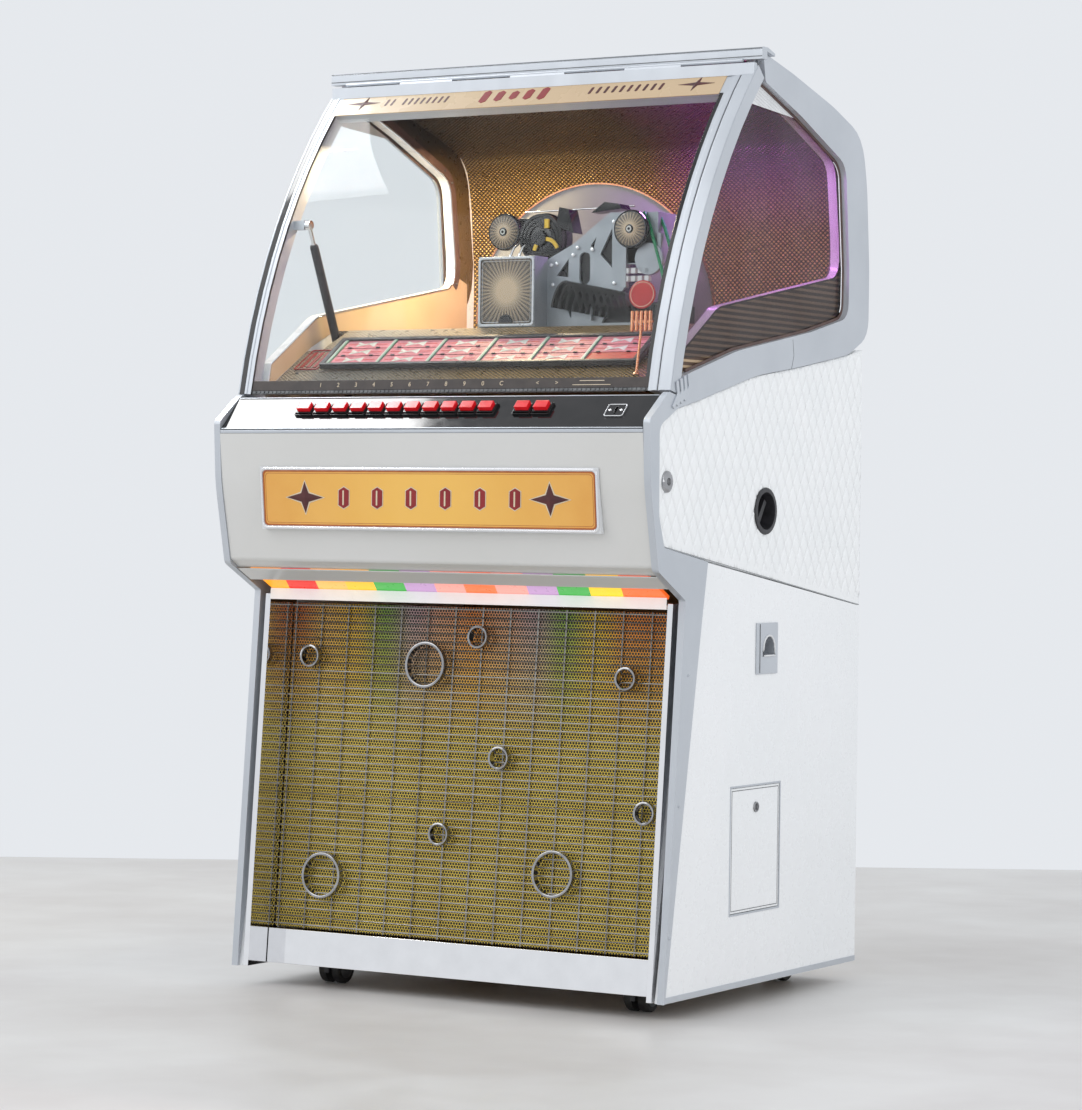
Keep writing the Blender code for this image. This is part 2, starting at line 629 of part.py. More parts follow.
def add_strut():
    way = (STRUT_TOP - STRUT_FOOT).normalized()
    tube_end = STRUT_FOOT + way * 0.262
    tube = [(0.0045, 0.006), (0.0075, 0.012), (0.0075, 0.258), (0.0060, 0.262)]
    body = turned("strut_cylinder", tube, STRUT_FOOT, way, "black_plastic", 14, origin=STRUT_FOOT)
    eye = rod("strut_foot_eye", STRUT_FOOT - Vector((0.005, 0, 0)), STRUT_FOOT + Vector((0.005, 0, 0)),
              0.0085, None, 14,
              origin=STRUT_FOOT)
    join(body, eye)
    bore = rod("strut_bore", STRUT_FOOT + way * 0.020, tube_end + way * 0.01, 0.0042, None, 12,
               origin=STRUT_FOOT)
    cut(body, bore)
    piston = rod("strut_rod", STRUT_FOOT + way * 0.0215, STRUT_TOP, 0.0035, "chrome", 12, origin=STRUT_TOP)
    join(piston, rod("strut_top_eye", STRUT_TOP - Vector((0.0040, 0, 0)),
                     STRUT_TOP + Vector((0.0045, 0, 0)), 0.0080,
                     None, 14, origin=STRUT_TOP))


# ---------------------------------------------------------------- player mechanism

def add_mechanism():
    arch = []
    radius, centre_x = 0.2300, 0.0100
    base_z = 1.0570
    for k in range(25):
        a = math.pi * k / 24
        arch.append((centre_x + radius * math.cos(a), base_z + 0.016 + radius * math.sin(a)))
    arch = [(centre_x + radius, base_z)] + arch + [(centre_x - radius, base_z)]
    prism("backdrop", arch, 0.4400, 0.4440, "pale_grey", axis="Y")
    cheek = [(-0.0960, 0), (0.1120, 0), (0.1300, 0.030), (0.1580, 0.062), (0.1580, 0.184), (0.1300, 0.186),
             (0.0620, 0.137), (0.0095, 0.111), (-0.0960, 0.111)]
    floor = DECK_TOP + 0.0015
    plate = prism("mechanism_frame", [(x, floor + z) for x, z in cheek], PLATE_Y, PLATE_Y + 0.005,
                  "grey_metal",
                  axis="Y")
    holes = [[(0.030, 0.085), (0.052, 0.112), (0.052, 0.082)],
             [(0.042, 0.052), (0.060, 0.060), (0.058, 0.014)],
             [(0.112, 0.118), (0.134, 0.160), (0.134, 0.096)], [(0.094, 0.133), (0.104, 0.146),
                                                                (0.098, 0.122)]]
    for k, hole in enumerate(holes):
        tool = prism(f"frame_hole_{k}", [(x, floor + z) for x, z in hole], PLATE_Y - 0.01, PLATE_Y + 0.02,
                     None,
                     axis="Y")
        cut(plate, tool)
    slot = filleted([(0.073, floor + 0.070, 0.009), (0.093, floor + 0.070, 0.009),
                     (0.093, floor + 0.122, 0.009),
                     (0.073, floor + 0.122, 0.009)])
    cut(plate, prism("frame_slot", slot, PLATE_Y - 0.01, PLATE_Y + 0.02, None, axis="Y"))
    join(plate, box("front_cover", (-0.0960, PLATE_Y - 0.0400, floor),
                    (0.0120, PLATE_Y + 0.001, floor + 0.1160),
                    None))
    join(plate, box("drive_box", (0.1560, PLATE_Y - 0.001, floor + 0.102),
                    (0.2200, PLATE_Y + 0.060, floor + 0.184),
                    None))
    join(plate, box("rear_deck_plate", (-0.0960, PLATE_Y, floor), (0.2000, PLATE_Y + 0.140, floor + 0.006),
                    None))
    join(plate, box("rear_cheek", (-0.0960, PLATE_Y + 0.002, floor),
                    (-0.0900, PLATE_Y + 0.140, floor + 0.120), None))
    join(plate, box("axle_block", (-0.0920, PLATE_Y + 0.050, floor),
                    (-0.0500, PLATE_Y + 0.0700, floor + 0.030), None))

    drum_centre = Vector((0.0900, PLATE_Y + 0.070, floor + 0.068))
    outline = [(0.052, 0.0)]
    for k in range(MAGAZINE_LEAVES):
        z = 0.006 + 0.0120 * k
        outline += [(0.058, z), (0.058, z + 0.0055), (0.050, z + 0.0060), (0.050, z + 0.0115)]
    turned("disc_magazine", outline, drum_centre - Vector((0.052, 0, 0)), (1, 0, 0), "disc_film", 18,
           origin=drum_centre)
    platter_centre = Vector((-0.0200, PLATE_Y + 0.036, floor + 0.150))
    platter = turned("platter", [(0.010, -0.020), (0.010, -0.004), (0.041, -0.004), (0.041, 0.004),
                                 (0.014, 0.005),
                                 (0.012, 0.012)], platter_centre, (0, -1,
                                                                   0), "disc_film", 24, origin=platter_centre)
    join(platter, box("platter_clip", (-0.0190, PLATE_Y + 0.022, floor + 0.167), (-0.0090, PLATE_Y + 0.0335,
                      floor + 0.181), None, origin=platter_centre))
    roller = [(0.006, -0.030), (0.006, -0.004), (0.028, -0.004), (0.030, 0.002), (0.028, 0.008),
              (0.008, 0.009)]
    left = Vector((-0.1050, PLATE_Y + 0.060, floor + 0.165))
    right = Vector((0.1780, PLATE_Y - 0.0105, floor + 0.1560))
    turned("left_roller", roller, left, (0, -1, 0), "grey_metal", 24, origin=left)
    turned("right_roller", [(r, h) for r, h in roller if h >= -0.004], right, (0, -1, 0), "grey_metal", 24,
           origin=right)


# ---------------------------------------------------------------- side fittings

def side_box(name, corners, inner, outer, finish, **where):
    (y0, z0), (y1, z1) = corners
    return box(name, (inner, y0, z0), (outer, y1, z1), finish, **where)


def add_cash_door():
    board = bpy.data.objects["right_side_board"]
    (y0, z0), (y1, z1) = CASH_DOOR
    door_inner = SKIN_OUTER_X - 0.0105
    cut(board, side_box("cash_rebate", CASH_DOOR, door_inner - GAP, HALF_WIDTH + 0.01, None))
    inside = ((y0 + 0.010, z0 + 0.010), (y1 - 0.010, z1 - 0.010))
    cut(board, side_box("cash_hole", inside, BOARD_INNER_X - 0.01, HALF_WIDTH, None))
    slack = 0.0012
    hinge = Vector((SKIN_OUTER_X - 0.0005, (y0 + y1) / 2, z0 + slack))
    door = side_box("cash_door", ((y0 + slack, z0 + slack), (y1 - slack, z1 - slack)), door_inner,
                    SKIN_OUTER_X - 0.0005,
                    "white_gloss", origin=hinge)
    lock_at = Vector((SKIN_OUTER_X, 0.3020, 0.2830))
    cut(door, rod("cash_lock_bore", lock_at - Vector((0.03, 0, 0)), lock_at + Vector((0.01, 0, 0)), 0.0075,
                  None, 18,
                  origin=hinge))
    lock = turned("cash_lock", [(0.0070, -0.022), (0.0070, -0.0002), (0.0088, -0.0002), (0.0082, 0.0016)],
                  lock_at,
                  (1, 0, 0), "chrome", 18, origin=lock_at)
    cam = box("cash_lock_cam", (lock_at.x - 0.0215, 0.2965, 0.2760), (lock_at.x - 0.0185, 0.3075, 0.2980),
              None,
              origin=lock_at)
    join(lock, cam)


def add_coin_return():
    board = bpy.data.objects["right_side_board"]
    (y0, z0), (y1, z1) = COIN_RETURN
    cup = ((0.3110, 0.5180), (0.3590, 0.5600))
    clear = 0.0006
    hole = ((cup[0][0] - clear, cup[0][1] - clear), (cup[1][0] + clear, cup[1][1] + clear))
    cut(board, side_box("coin_return_hole", hole, BOARD_INNER_X - 0.01, HALF_WIDTH + 0.01, None))
    plate = side_box("coin_return_plate", COIN_RETURN, SKIN_OUTER_X + GAP, SKIN_OUTER_X + 0.0023,
                     "satin_silver")
    join(plate, side_box("coin_return_body", cup, SKIN_OUTER_X - 0.036, SKIN_OUTER_X + 0.001, None))
    arch = [(0.3545, 0.5235)]
    for k in range(1, 9):
        a = math.pi * k / 8
        arch.append((0.3350 + 0.0195 * math.cos(a), 0.5345 + 0.0215 * math.sin(a)))
    arch.append((0.3155, 0.5235))
    cut(plate, prism("coin_return_pocket", arch, SKIN_OUTER_X - 0.031, HALF_WIDTH + 0.01, None))


def add_grip_cup():
    y, z = GRIP_CUP
    face = Vector((SKIN_OUTER_X, y, z))
    for name in ("right_side_board", "right_quilted_panel"):
        cut(bpy.data.objects[name], rod(f"{name}_cup_hole", face - Vector((0.05, 0, 0)),
                                        face + Vector((0.02, 0, 0)),
                                        0.0315, None, 28))
    cup = [(0.0305, -0.034), (0.0305, -0.0006), (0.0380, -0.0006), (0.0375, 0.0020), (0.0300, 0.0026),
           (0.0275, -0.0200), (0.0100, -0.0220), (0.0060, -0.0220), (0.0060, -0.034)]
    turned("grip_cup", cup, face, (1, 0, 0), "black_plastic", 28, ring=True)
    knob = turned("turn_knob", [(0.0052, -0.033), (0.0052, -0.0215), (0.0090, -0.0214), (0.0085, -0.0160)],
                  face,
                  (1, 0, 0), "black_plastic", 18, origin=face)
    wing = box("turn_knob_wing", (face.x - 0.0195, y - 0.0045, z - 0.0200),
               (face.x - 0.0060, y + 0.0045, z + 0.0200),
               None, origin=face)
    join(knob, wing)
    for piece in (knob, wing):
        piece.rotation_euler = (math.radians(-35), 0, 0)


def add_lid_lock():
    y, z = LID_LOCK
    face = Vector((SKIN_OUTER_X, y, z))
    for name in ("right_side_board", "right_quilted_panel"):
        cut(bpy.data.objects[name], rod(f"{name}_lock_hole", face - Vector((0.05, 0, 0)),
                                        face + Vector((0.02, 0, 0)),
                                        0.0115, None, 20))
    outline = [(0.0110, -0.028), (0.0110, -0.0006), (0.0170, -0.0006), (0.0165, 0.0022), (0.0125, 0.0040)]
    turned("lid_lock", outline, face, (1, 0, 0), "chrome", 24, origin=face)


# ---------------------------------------------------------------- castors

def add_castors():
    for word, x, y in CASTORS:
        axle = Vector((x, y + 0.012, WHEEL_RADIUS - CASTOR_GAP))
        stem = Vector((x, y, SWIVEL_Z))
        fork = box(f"{word}_castor_fork", (x - 0.0045, y - 0.018, axle.z - 0.006),
                   (x + 0.0045, y + 0.024, 0.0225),
                   "black_plastic", origin=stem)
        join(fork, rod(f"{word}_stem", (x, y, 0.0200), (x, y, SWIVEL_Z - GAP), 0.0190, None, 16,
                       origin=stem))
        cut(fork, rod(f"{word}_axle_hole", axle - Vector((0.01, 0, 0)), axle + Vector((0.01, 0, 0)), 0.0042,
                      None, 12,
                      origin=stem))
        wheel = [(WHEEL_RADIUS - 0.002, -0.0200), (WHEEL_RADIUS, -0.0180), (WHEEL_RADIUS, -0.0060),
                 (0.0040, -0.0052), (0.0040, 0.0052), (WHEEL_RADIUS, 0.0060), (WHEEL_RADIUS, 0.0180),
                 (WHEEL_RADIUS - 0.002, 0.0200)]
        turned(f"{word}_castor_wheel", wheel, axle, (1, 0, 0), "rubber", 20, origin=axle)


def build():
    clear_scene()
    origin = bpy.data.objects.new("cabinet_origin", None)
    bpy.context.scene.collection.objects.link(origin)
    origin.location = (0, -(REAR_REACH + FRONT_REACH) / 2, CASTOR_GAP)
    add_sides()
    add_base()
    add_top_rail()
    add_belly()
    add_key_panel()
    add_grille()
    add_grille_surround()
    add_title_rack()
    add_lid()
    add_strut()
    add_mechanism()
    add_cash_door()
    add_coin_return()
    add_grip_cup()
    add_lid_lock()
    add_castors()


build()
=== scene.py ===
import math

import bmesh
import bpy
from mathutils import Matrix, Vector


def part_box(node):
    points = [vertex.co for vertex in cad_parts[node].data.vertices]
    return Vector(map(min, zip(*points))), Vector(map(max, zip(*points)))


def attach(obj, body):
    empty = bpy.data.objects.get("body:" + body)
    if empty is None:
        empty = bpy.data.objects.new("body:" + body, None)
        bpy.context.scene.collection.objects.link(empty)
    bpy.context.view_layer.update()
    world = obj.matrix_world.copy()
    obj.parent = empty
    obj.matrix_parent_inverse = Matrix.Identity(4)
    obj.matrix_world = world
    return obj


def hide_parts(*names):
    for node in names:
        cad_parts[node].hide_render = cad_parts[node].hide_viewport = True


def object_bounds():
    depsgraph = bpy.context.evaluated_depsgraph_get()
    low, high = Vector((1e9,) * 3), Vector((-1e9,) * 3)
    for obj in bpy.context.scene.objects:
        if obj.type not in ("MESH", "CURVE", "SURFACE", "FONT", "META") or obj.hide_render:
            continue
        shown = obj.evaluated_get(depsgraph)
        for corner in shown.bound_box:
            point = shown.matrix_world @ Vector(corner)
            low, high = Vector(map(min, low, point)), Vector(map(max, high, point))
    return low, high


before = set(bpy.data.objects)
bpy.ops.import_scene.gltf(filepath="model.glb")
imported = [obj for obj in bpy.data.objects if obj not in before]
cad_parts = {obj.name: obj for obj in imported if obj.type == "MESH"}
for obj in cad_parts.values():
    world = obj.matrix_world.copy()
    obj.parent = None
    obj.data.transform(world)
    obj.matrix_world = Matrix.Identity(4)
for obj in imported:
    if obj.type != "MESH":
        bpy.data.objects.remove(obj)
cad_low, cad_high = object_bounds()

# ---------------------------------------------------------------- the cabinet's own frame
# Lengths are in metres. Points are given from the middle of the plinth's lower front edge: x across,
# y back and z up, as the CAD source has them.

BELLY_REACH = 0.0652
FRONT_Y = cad_low.y + BELLY_REACH
FLOOR_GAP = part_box("right_trim_frame")[0].z
TO_WORLD = Matrix.Translation((0, FRONT_Y, FLOOR_GAP))

TRIM_INNER_X = 0.393
INSIDE_X = 0.3721
SKIN_X = 0.402
BACK_Y = 0.668
FRONT_LEAN = math.atan(0.0535 / 0.6155)

GRILLE_RECESS = 0.070
GRILLE_LOW, GRILLE_HIGH = 0.060, 0.596

PANEL_CENTRE = Vector((0.0, -0.0387, 0.9035))
PANEL_ANGLE = math.radians(44.5)

LID_FOOT = Vector((0.0, 0.936))
LID_HEAD = Vector((0.274, 1.461))
LID_RADIUS = 1.075
LID_LEFT_X, LID_RIGHT_X = -0.380, 0.364
HINGE_LINE = (0.268, 1.4695)

KEY_X = [-0.2445 + 0.0343 * k for k in range(11)] + [0.1644, 0.1990]
SIGN_FOOT, SIGN_HEAD = Vector((-0.0537, 0.7165)), Vector((-0.0635, 0.8170))
SIGN_HALF, SIGN_TALL = 0.315, 0.101
RACK_FOOT, RACK_HEAD = Vector((0.0789, 0.9836)), Vector((0.1508, 1.0316))
RACK_HALF, RACK_TALL = 0.300, 0.0864

FLOOR_Z = 1.0527
LEFT_ROLLER = Vector((-0.1050, 0.3450, 1.2177))
RIGHT_ROLLER = Vector((0.1780, 0.2745, 1.2087))
PLATTER = Vector((-0.0200, 0.3210, 1.2027))
COVER_MIDDLE = (-0.042, 1.112)
ARCH_CENTRE, ARCH_RADIUS, ARCH_Y = (0.010, 1.073), 0.230, 0.440


# ---------------------------------------------------------------- materials

class Finish:
    """A procedural material: a Principled shader, with short calls that add and link nodes."""

    def __init__(self, name, colour, roughness, metallic=0.0, coat=0.0, glow=0.0):
        self.material = bpy.data.materials.new(name)
        self.material.use_nodes = True
        self.material.diffuse_color = (*colour, 1)
        self.tree = self.material.node_tree
        self.shader = self.tree.nodes["Principled BSDF"]
        self.set(self.shader.inputs["Base Color"], (*colour, 1))
        self.shader.inputs["Roughness"].default_value = roughness
        self.shader.inputs["Metallic"].default_value = metallic
        if coat:
            self.shader.inputs["Coat Weight"].default_value = coat
            self.shader.inputs["Coat Roughness"].default_value = 0.04
        if glow:
            self.set(self.shader.inputs["Emission Color"], (*colour, 1))
            self.shader.inputs["Emission Strength"].default_value = glow

    def set(self, socket, value):
        if isinstance(value, bpy.types.NodeSocket):
            self.tree.links.new(value, socket)
        else:
            socket.default_value = value

    def node(self, kind, inputs, **settings):
        made = self.tree.nodes.new("ShaderNode" + kind)
        for name, value in settings.items():
            setattr(made, name, value)
        for key, value in inputs.items():
            self.set(made.inputs[key], value)
        return made

    def calc(self, operation, a, b=0.0):
        return self.node("Math", {0: a, 1: b}, operation=operation).outputs[0]

    def times(self, a, b):
        return self.calc("MULTIPLY", a, b)

    def plus(self, a, b):
        return self.calc("ADD", a, b)

    def minus(self, a, b):
        return self.calc("SUBTRACT", a, b)

    def place(self):
        """Where the point is on the part at rest: x, y and z in metres."""
        spot = self.node("TexCoord", {}).outputs["Object"]
        return self.node("SeparateXYZ", {0: spot}).outputs

    def noise(self, size, detail=3.0, stretch=(1, 1, 1)):
        """Soft noise with features about size across, drawn out by stretch along x, y and z."""
        spot = self.node("TexCoord", {}).outputs["Object"]
        scale = [1 / (size * s) for s in stretch]
        spot = self.node("Mapping", {"Vector": spot, "Scale": scale}).outputs[0]
        return self.node("TexNoise", {"Vector": spot, "Scale": 1.0, "Detail": detail}).outputs[0]

    def range(self, value, low, high, start=0.0, end=1.0):
        """value from start to end becomes low to high, clamped."""
        return self.node("MapRange", {0: value, 1: start, 2: end, 3: low, 4: high}).outputs[0]

    def mix(self, factor, a, b):
        made = self.node("Mix", {0: factor}, data_type="RGBA")
        for key, value in ((6, a), (7, b)):
            self.set(made.inputs[key], value if isinstance(value, bpy.types.NodeSocket) else (*value, 1))
        return made.outputs[2]

    def paint(self, colour):
        self.set(self.shader.inputs["Base Color"], colour)
        return self

    def dapple(self, a, b, size, stretch=(1, 1, 1)):
        """Colour that drifts between a and b."""
        return self.paint(self.mix(self.range(self.noise(size, 4, stretch), 0, 1, 0.35, 0.65), a, b))

    def grain(self, low, high, size, stretch=(1, 1, 1)):
        """Roughness that drifts between low and high."""
        self.set(self.shader.inputs["Roughness"],
                 self.range(self.noise(size, 4, stretch), low, high, 0.3, 0.7))
        return self

    def emboss(self, height, depth):
        """Bump: height from 0 to 1 stands for depth metres."""
        made = self.node("Bump", {"Height": height, "Strength": 1.0, "Distance": depth})
        if self.shader.inputs["Normal"].is_linked:
            self.set(made.inputs["Normal"], self.shader.inputs["Normal"].links[0].from_socket)
        self.set(self.shader.inputs["Normal"], made.outputs[0])
        return self


def white_paint():
    made = Finish("gloss_white_paint", (0.87, 0.88, 0.89), 0.28, coat=0.2)
    made.dapple((0.86, 0.875, 0.885), (0.885, 0.895, 0.905), 0.25)
    made.grain(0.24, 0.34, 0.02)
    return made.emboss(made.noise(0.12, 1), 0.00015)


def quilted_vinyl():
    made = Finish("quilted_white_vinyl", (0.88, 0.89, 0.895), 0.36)
    made.dapple((0.87, 0.885, 0.89), (0.895, 0.905, 0.91), 0.08)
    made.grain(0.32, 0.42, 0.006)
    return made.emboss(made.noise(0.0011, 4), 0.00005)


def satin_silver():
    made = Finish("satin_silver", (0.55, 0.58, 0.62), 0.42, metallic=0.45)
    made.dapple((0.53, 0.56, 0.60), (0.58, 0.61, 0.65), 0.15)
    made.grain(0.36, 0.46, 0.02, (1, 6, 6))
    return made.emboss(made.noise(0.012, 2, (1, 8, 8)), 0.00004)


def warm_white():
    made = Finish("warm_white_lacquer", (0.69, 0.685, 0.66), 0.22, coat=0.2)
    made.dapple((0.68, 0.675, 0.65), (0.71, 0.705, 0.685), 0.3)
    made.grain(0.17, 0.24, 0.03)
    return made.emboss(made.noise(0.04, 2), 0.00010)


def chrome():
    made = Finish("chrome", (0.86, 0.86, 0.87), 0.06, metallic=1.0)
    made.dapple((0.84, 0.84, 0.85), (0.89, 0.89, 0.90), 0.05)
    return made.grain(0.04, 0.10, 0.01)


def gloss_black():
    made = Finish("gloss_black", (0.010, 0.010, 0.011), 0.07)
    made.dapple((0.010, 0.010, 0.011), (0.018, 0.017, 0.018), 0.05)
    return made.grain(0.06, 0.12, 0.015)


def moulded_black():
    made = Finish("moulded_black", (0.022, 0.022, 0.025), 0.38)
    made.dapple((0.018, 0.018, 0.020), (0.032, 0.031, 0.036), 0.01)
    made.grain(0.33, 0.48, 0.003)
    return made.emboss(made.noise(0.0006, 3), 0.00005)


def red_plastic():
    # The faint glow is painted light: the red plastic has no lamp.
    made = Finish("red_plastic", (0.80, 0.010, 0.018), 0.24, glow=0.06)
    made.dapple((0.74, 0.008, 0.014), (0.86, 0.014, 0.024), 0.02)
    return made.grain(0.15, 0.26, 0.004)


def amber_acrylic():
    """The lit sign: orange, paler in the middle where the lamp stands behind it."""
    made = Finish("amber_acrylic", (0.74, 0.35, 0.07), 0.12, coat=0.5, glow=0.10)
    x, y, z = made.place()
    across = made.calc("ABSOLUTE", x)
    warm = made.mix(made.range(across, 0, 1, 0.05, 0.31), (0.84, 0.48, 0.085), (0.72, 0.34, 0.055))
    warm = made.mix(made.range(made.noise(0.05), 0, 0.25, 0.3, 0.7), warm, (0.86, 0.50, 0.12))
    made.paint(warm)
    made.set(made.shader.inputs["Emission Color"], warm)
    return made.grain(0.10, 0.16, 0.03)


RAINBOW = [(0.95, 0.36, 0.01), (0.72, 0.02, 0.01), (0.95, 0.45, 0.10), (0.93, 0.50, 0.02), (0.05, 0.38, 0.06),
           (0.47, 0.28, 0.50), (0.86, 0.32, 0.27), (0.92, 0.16, 0.04), (0.86, 0.32, 0.27), (0.47, 0.28, 0.50),
           (0.05, 0.38, 0.06), (0.96, 0.58, 0.01), (0.90, 0.14, 0.02)]


def rainbow(made, side=0.0):
    """A colour that changes in slanting steps across the width, as the lit strip does."""
    x, y, z = made.place()
    lean = made.times(made.plus(y, -FRONT_Y), 0.4)
    along = made.range(made.plus(x, lean), 0, 1, -INSIDE_X, INSIDE_X)
    ramp = made.node("ValToRGB", {0: along})
    ramp.color_ramp.interpolation = "CONSTANT" if side == 0 else "EASE"
    steps = ramp.color_ramp.elements
    for k, colour in enumerate(RAINBOW):
        step = steps[k] if k < 2 else steps.new(1.0)
        step.position = k / len(RAINBOW)
        step.color = (*colour, 1)
    return ramp.outputs[0]


def rainbow_diffuser():
    made = Finish("rainbow_diffuser", (0.8, 0.3, 0.1), 0.30, glow=0.75)
    colour = rainbow(made)
    made.paint(colour)
    made.set(made.shader.inputs["Emission Color"], colour)
    return made.grain(0.25, 0.40, 0.01)


def holes(made, across, up, pitch, rise, radius):
    """1 in the holes of a sheet punched in staggered rows, 0 between them."""
    nearest = None
    for shift in (0.0, 0.5):
        u = made.calc("FRACT", made.plus(made.calc("DIVIDE", across, pitch), 50 + shift))
        v = made.calc("FRACT", made.plus(made.calc("DIVIDE", up, 2 * rise), 50 + shift))
        du = made.times(made.minus(u, 0.5), pitch)
        dv = made.times(made.minus(v, 0.5), 2 * rise)
        far = made.calc("SQRT", made.plus(made.times(du, du), made.times(dv, dv)))
        nearest = far if nearest is None else made.calc("MINIMUM", nearest, far)
    return made.range(nearest, 1, 0, radius * 0.85, radius * 1.1)


def perforated_gold():
    made = Finish("perforated_gold", (0.60, 0.42, 0.06), 0.34, metallic=0.5)
    x, y, z = made.place()
    hole = holes(made, x, z, 0.0052, 0.0045, 0.00205)
    gold = made.mix(made.range(made.noise(0.12), 0, 1, 0.35, 0.65), (0.74, 0.53, 0.075), (0.88, 0.66, 0.11))
    # Painted light: towards the top of the grille the gold takes on the lit strip's colours.
    tint = made.range(z, 0, 0.80, 0.42, 0.645)
    gold = made.mix(tint, gold, rainbow(made, side=1))
    # The holes are painted near-black: painted shade for the dark interior seen through them.
    made.paint(made.mix(hole, gold, (0.012, 0.009, 0.006)))
    made.set(made.shader.inputs["Metallic"], made.range(hole, 0.35, 0.0))
    made.grain(0.28, 0.40, 0.01)
    return made.emboss(made.range(hole, 1, 0), 0.0008)


def dimples(made, across, along, pitch):
    """Rows of round dimples, staggered: 0 at the rim and 1 at each top."""
    u = made.times(across, math.pi / pitch)
    v = made.times(along, math.pi / pitch)
    both = made.times(made.calc("SINE", made.plus(u, v)),
                      made.calc("SINE", made.minus(u, v)))
    return made.calc("ABSOLUTE", both)


def dimpled_bronze(name, slope):
    """Stamped bronze sheet, darkened towards each dimple's rim as painted shade. slope turns y into travel
    along the sheet.
    """
    made = Finish(name, (0.50, 0.32, 0.11), 0.30, metallic=0.45)
    x, y, z = made.place()
    along = made.plus(made.times(y, slope), z)
    bump = dimples(made, x, along, 0.0085)
    base = made.mix(made.range(made.noise(0.2), 0, 1, 0.35, 0.65), (0.50, 0.31, 0.09), (0.68, 0.45, 0.16))
    # Painted shade: the colour darkens towards the low rims between the dimples' tops.
    shaded_tone = made.mix(made.range(bump, 0, 1, 0.15, 0.85), (0.045, 0.024, 0.010), base)
    made.paint(shaded_tone)
    made.grain(0.24, 0.38, 0.01)
    return made.emboss(bump, 0.0022), shaded_tone


def bronze_hood():
    """The hood's lining, with the violet lamp's light painted on its upper right and painted shade towards
    the top.
    """
    made, shaded_tone = dimpled_bronze("bronze_hood", -1.0)
    x, y, z = made.place()
    right = made.range(x, 0, 1, 0.0, 0.16)
    high = made.range(z, 0, 1, 1.26, 1.38)
    # Painted shade: the lining darkens towards the top of the hood.
    shaded_tone = made.mix(made.range(z, 0, 0.85, 1.34, 1.46), shaded_tone, (0.02, 0.012, 0.007))
    # Painted light: the violet lamp's colour over the upper right.
    made.paint(made.mix(made.times(made.times(right, high), 0.55), shaded_tone, (0.32, 0.06, 0.42)))
    return made


def bronze_deck():
    """The deck: bronze on the right and towards the front, grey on the left."""
    made, shaded_tone = dimpled_bronze("bronze_deck", 1.0)
    x, y, z = made.place()
    grey = made.range(x, 0.75, 0, -0.26, 0.0)
    made.paint(made.mix(grey, shaded_tone, (0.30, 0.31, 0.30)))
    made.set(made.shader.inputs["Metallic"], made.range(grey, 0.45, 0.2))
    return made


def sunburst(name, x0, z0, reach, rays):
    """Printed rays from a pale middle out to a dark rim, about (x0, z0) in the cabinet's frame."""
    made = Finish(name, (0.05, 0.045, 0.04), 0.35, coat=0.3)
    x, y, z = made.place()
    dx, dz = made.minus(x, x0), made.minus(z, z0 + FLOOR_GAP)
    far = made.calc("SQRT", made.plus(made.times(dx, dx), made.times(dz, dz)))
    angle = made.calc("ARCTAN2", dx, dz)
    beam = made.range(made.calc("SINE", made.times(angle, rays)), 0.25, 1, -0.6, 0.7)
    fade = made.range(far, 1, 0.10, reach * 0.15, reach)
    middle = made.range(far, 1, 0, reach * 0.25, reach * 0.55)
    share = made.calc("MAXIMUM", made.times(beam, fade), middle)
    made.paint(made.mix(share, (0.035, 0.033, 0.032), (0.62, 0.48, 0.32)))
    return made.grain(0.28, 0.42, 0.01)


def pane(name, tint, gloss):
    """Thin glass: it lets light through with a tint, and mirrors more at a slant."""
    made = Finish(name, tint, 0.02)
    through = made.node("BsdfTransparent", {"Color": (*tint, 1)}).outputs[0]
    mirror = made.node("BsdfGlossy", {"Color": (1, 1, 1, 1), "Roughness": 0.015}).outputs[0]
    slant = made.node("LayerWeight", {"Blend": 0.5}).outputs["Facing"]
    edge = made.plus(made.times(made.calc("POWER", slant, 5.0), 0.9), 0.045)
    smear = made.range(made.noise(0.09), 0.75 * gloss, gloss, 0.35, 0.65)
    share = made.times(edge, smear)
    mixed = made.node("MixShader", {0: share, 1: through, 2: mirror}).outputs[0]
    made.set(made.tree.nodes["Material Output"].inputs["Surface"], mixed)
    return made


def printed_card(name, ground, ink):
    """A title card, ruled with broken bars."""
    made = Finish(name, ground, 0.45, coat=0.2)
    x, y, z = made.place()
    line = made.calc("FRACT", made.calc("DIVIDE", made.plus(y, z), 0.0082))
    ruled = made.calc("COMPARE", line, 0.5)
    made.tree.nodes[-1].inputs[2].default_value = 0.16
    words = made.range(made.noise(0.006, 1, (1.6, 0.5, 0.5)), 0, 1, 0.46, 0.56)
    share = made.times(ruled, words)
    ground_tone = made.mix(made.range(made.noise(0.03), 0, 1, 0.3, 0.7), ground,
                           [min(1, c * 1.25) for c in ground])
    made.paint(made.mix(made.times(share, 0.75), ground_tone, ink))
    return made.grain(0.35, 0.5, 0.01)


def cast_grey():
    made = Finish("cast_grey", (0.36, 0.39, 0.42), 0.40, metallic=0.45)
    made.dapple((0.33, 0.36, 0.39), (0.40, 0.43, 0.46), 0.03)
    made.grain(0.34, 0.48, 0.004)
    return made.emboss(made.noise(0.0012, 3), 0.00008)


def pale_grey():
    """The arched board behind the player, with a faint glow that is painted light."""
    made = Finish("pale_grey_backdrop", (0.36, 0.36, 0.355), 0.42, glow=0.03)
    made.dapple((0.32, 0.32, 0.32), (0.42, 0.415, 0.40), 0.12)
    return made.grain(0.36, 0.5, 0.01)


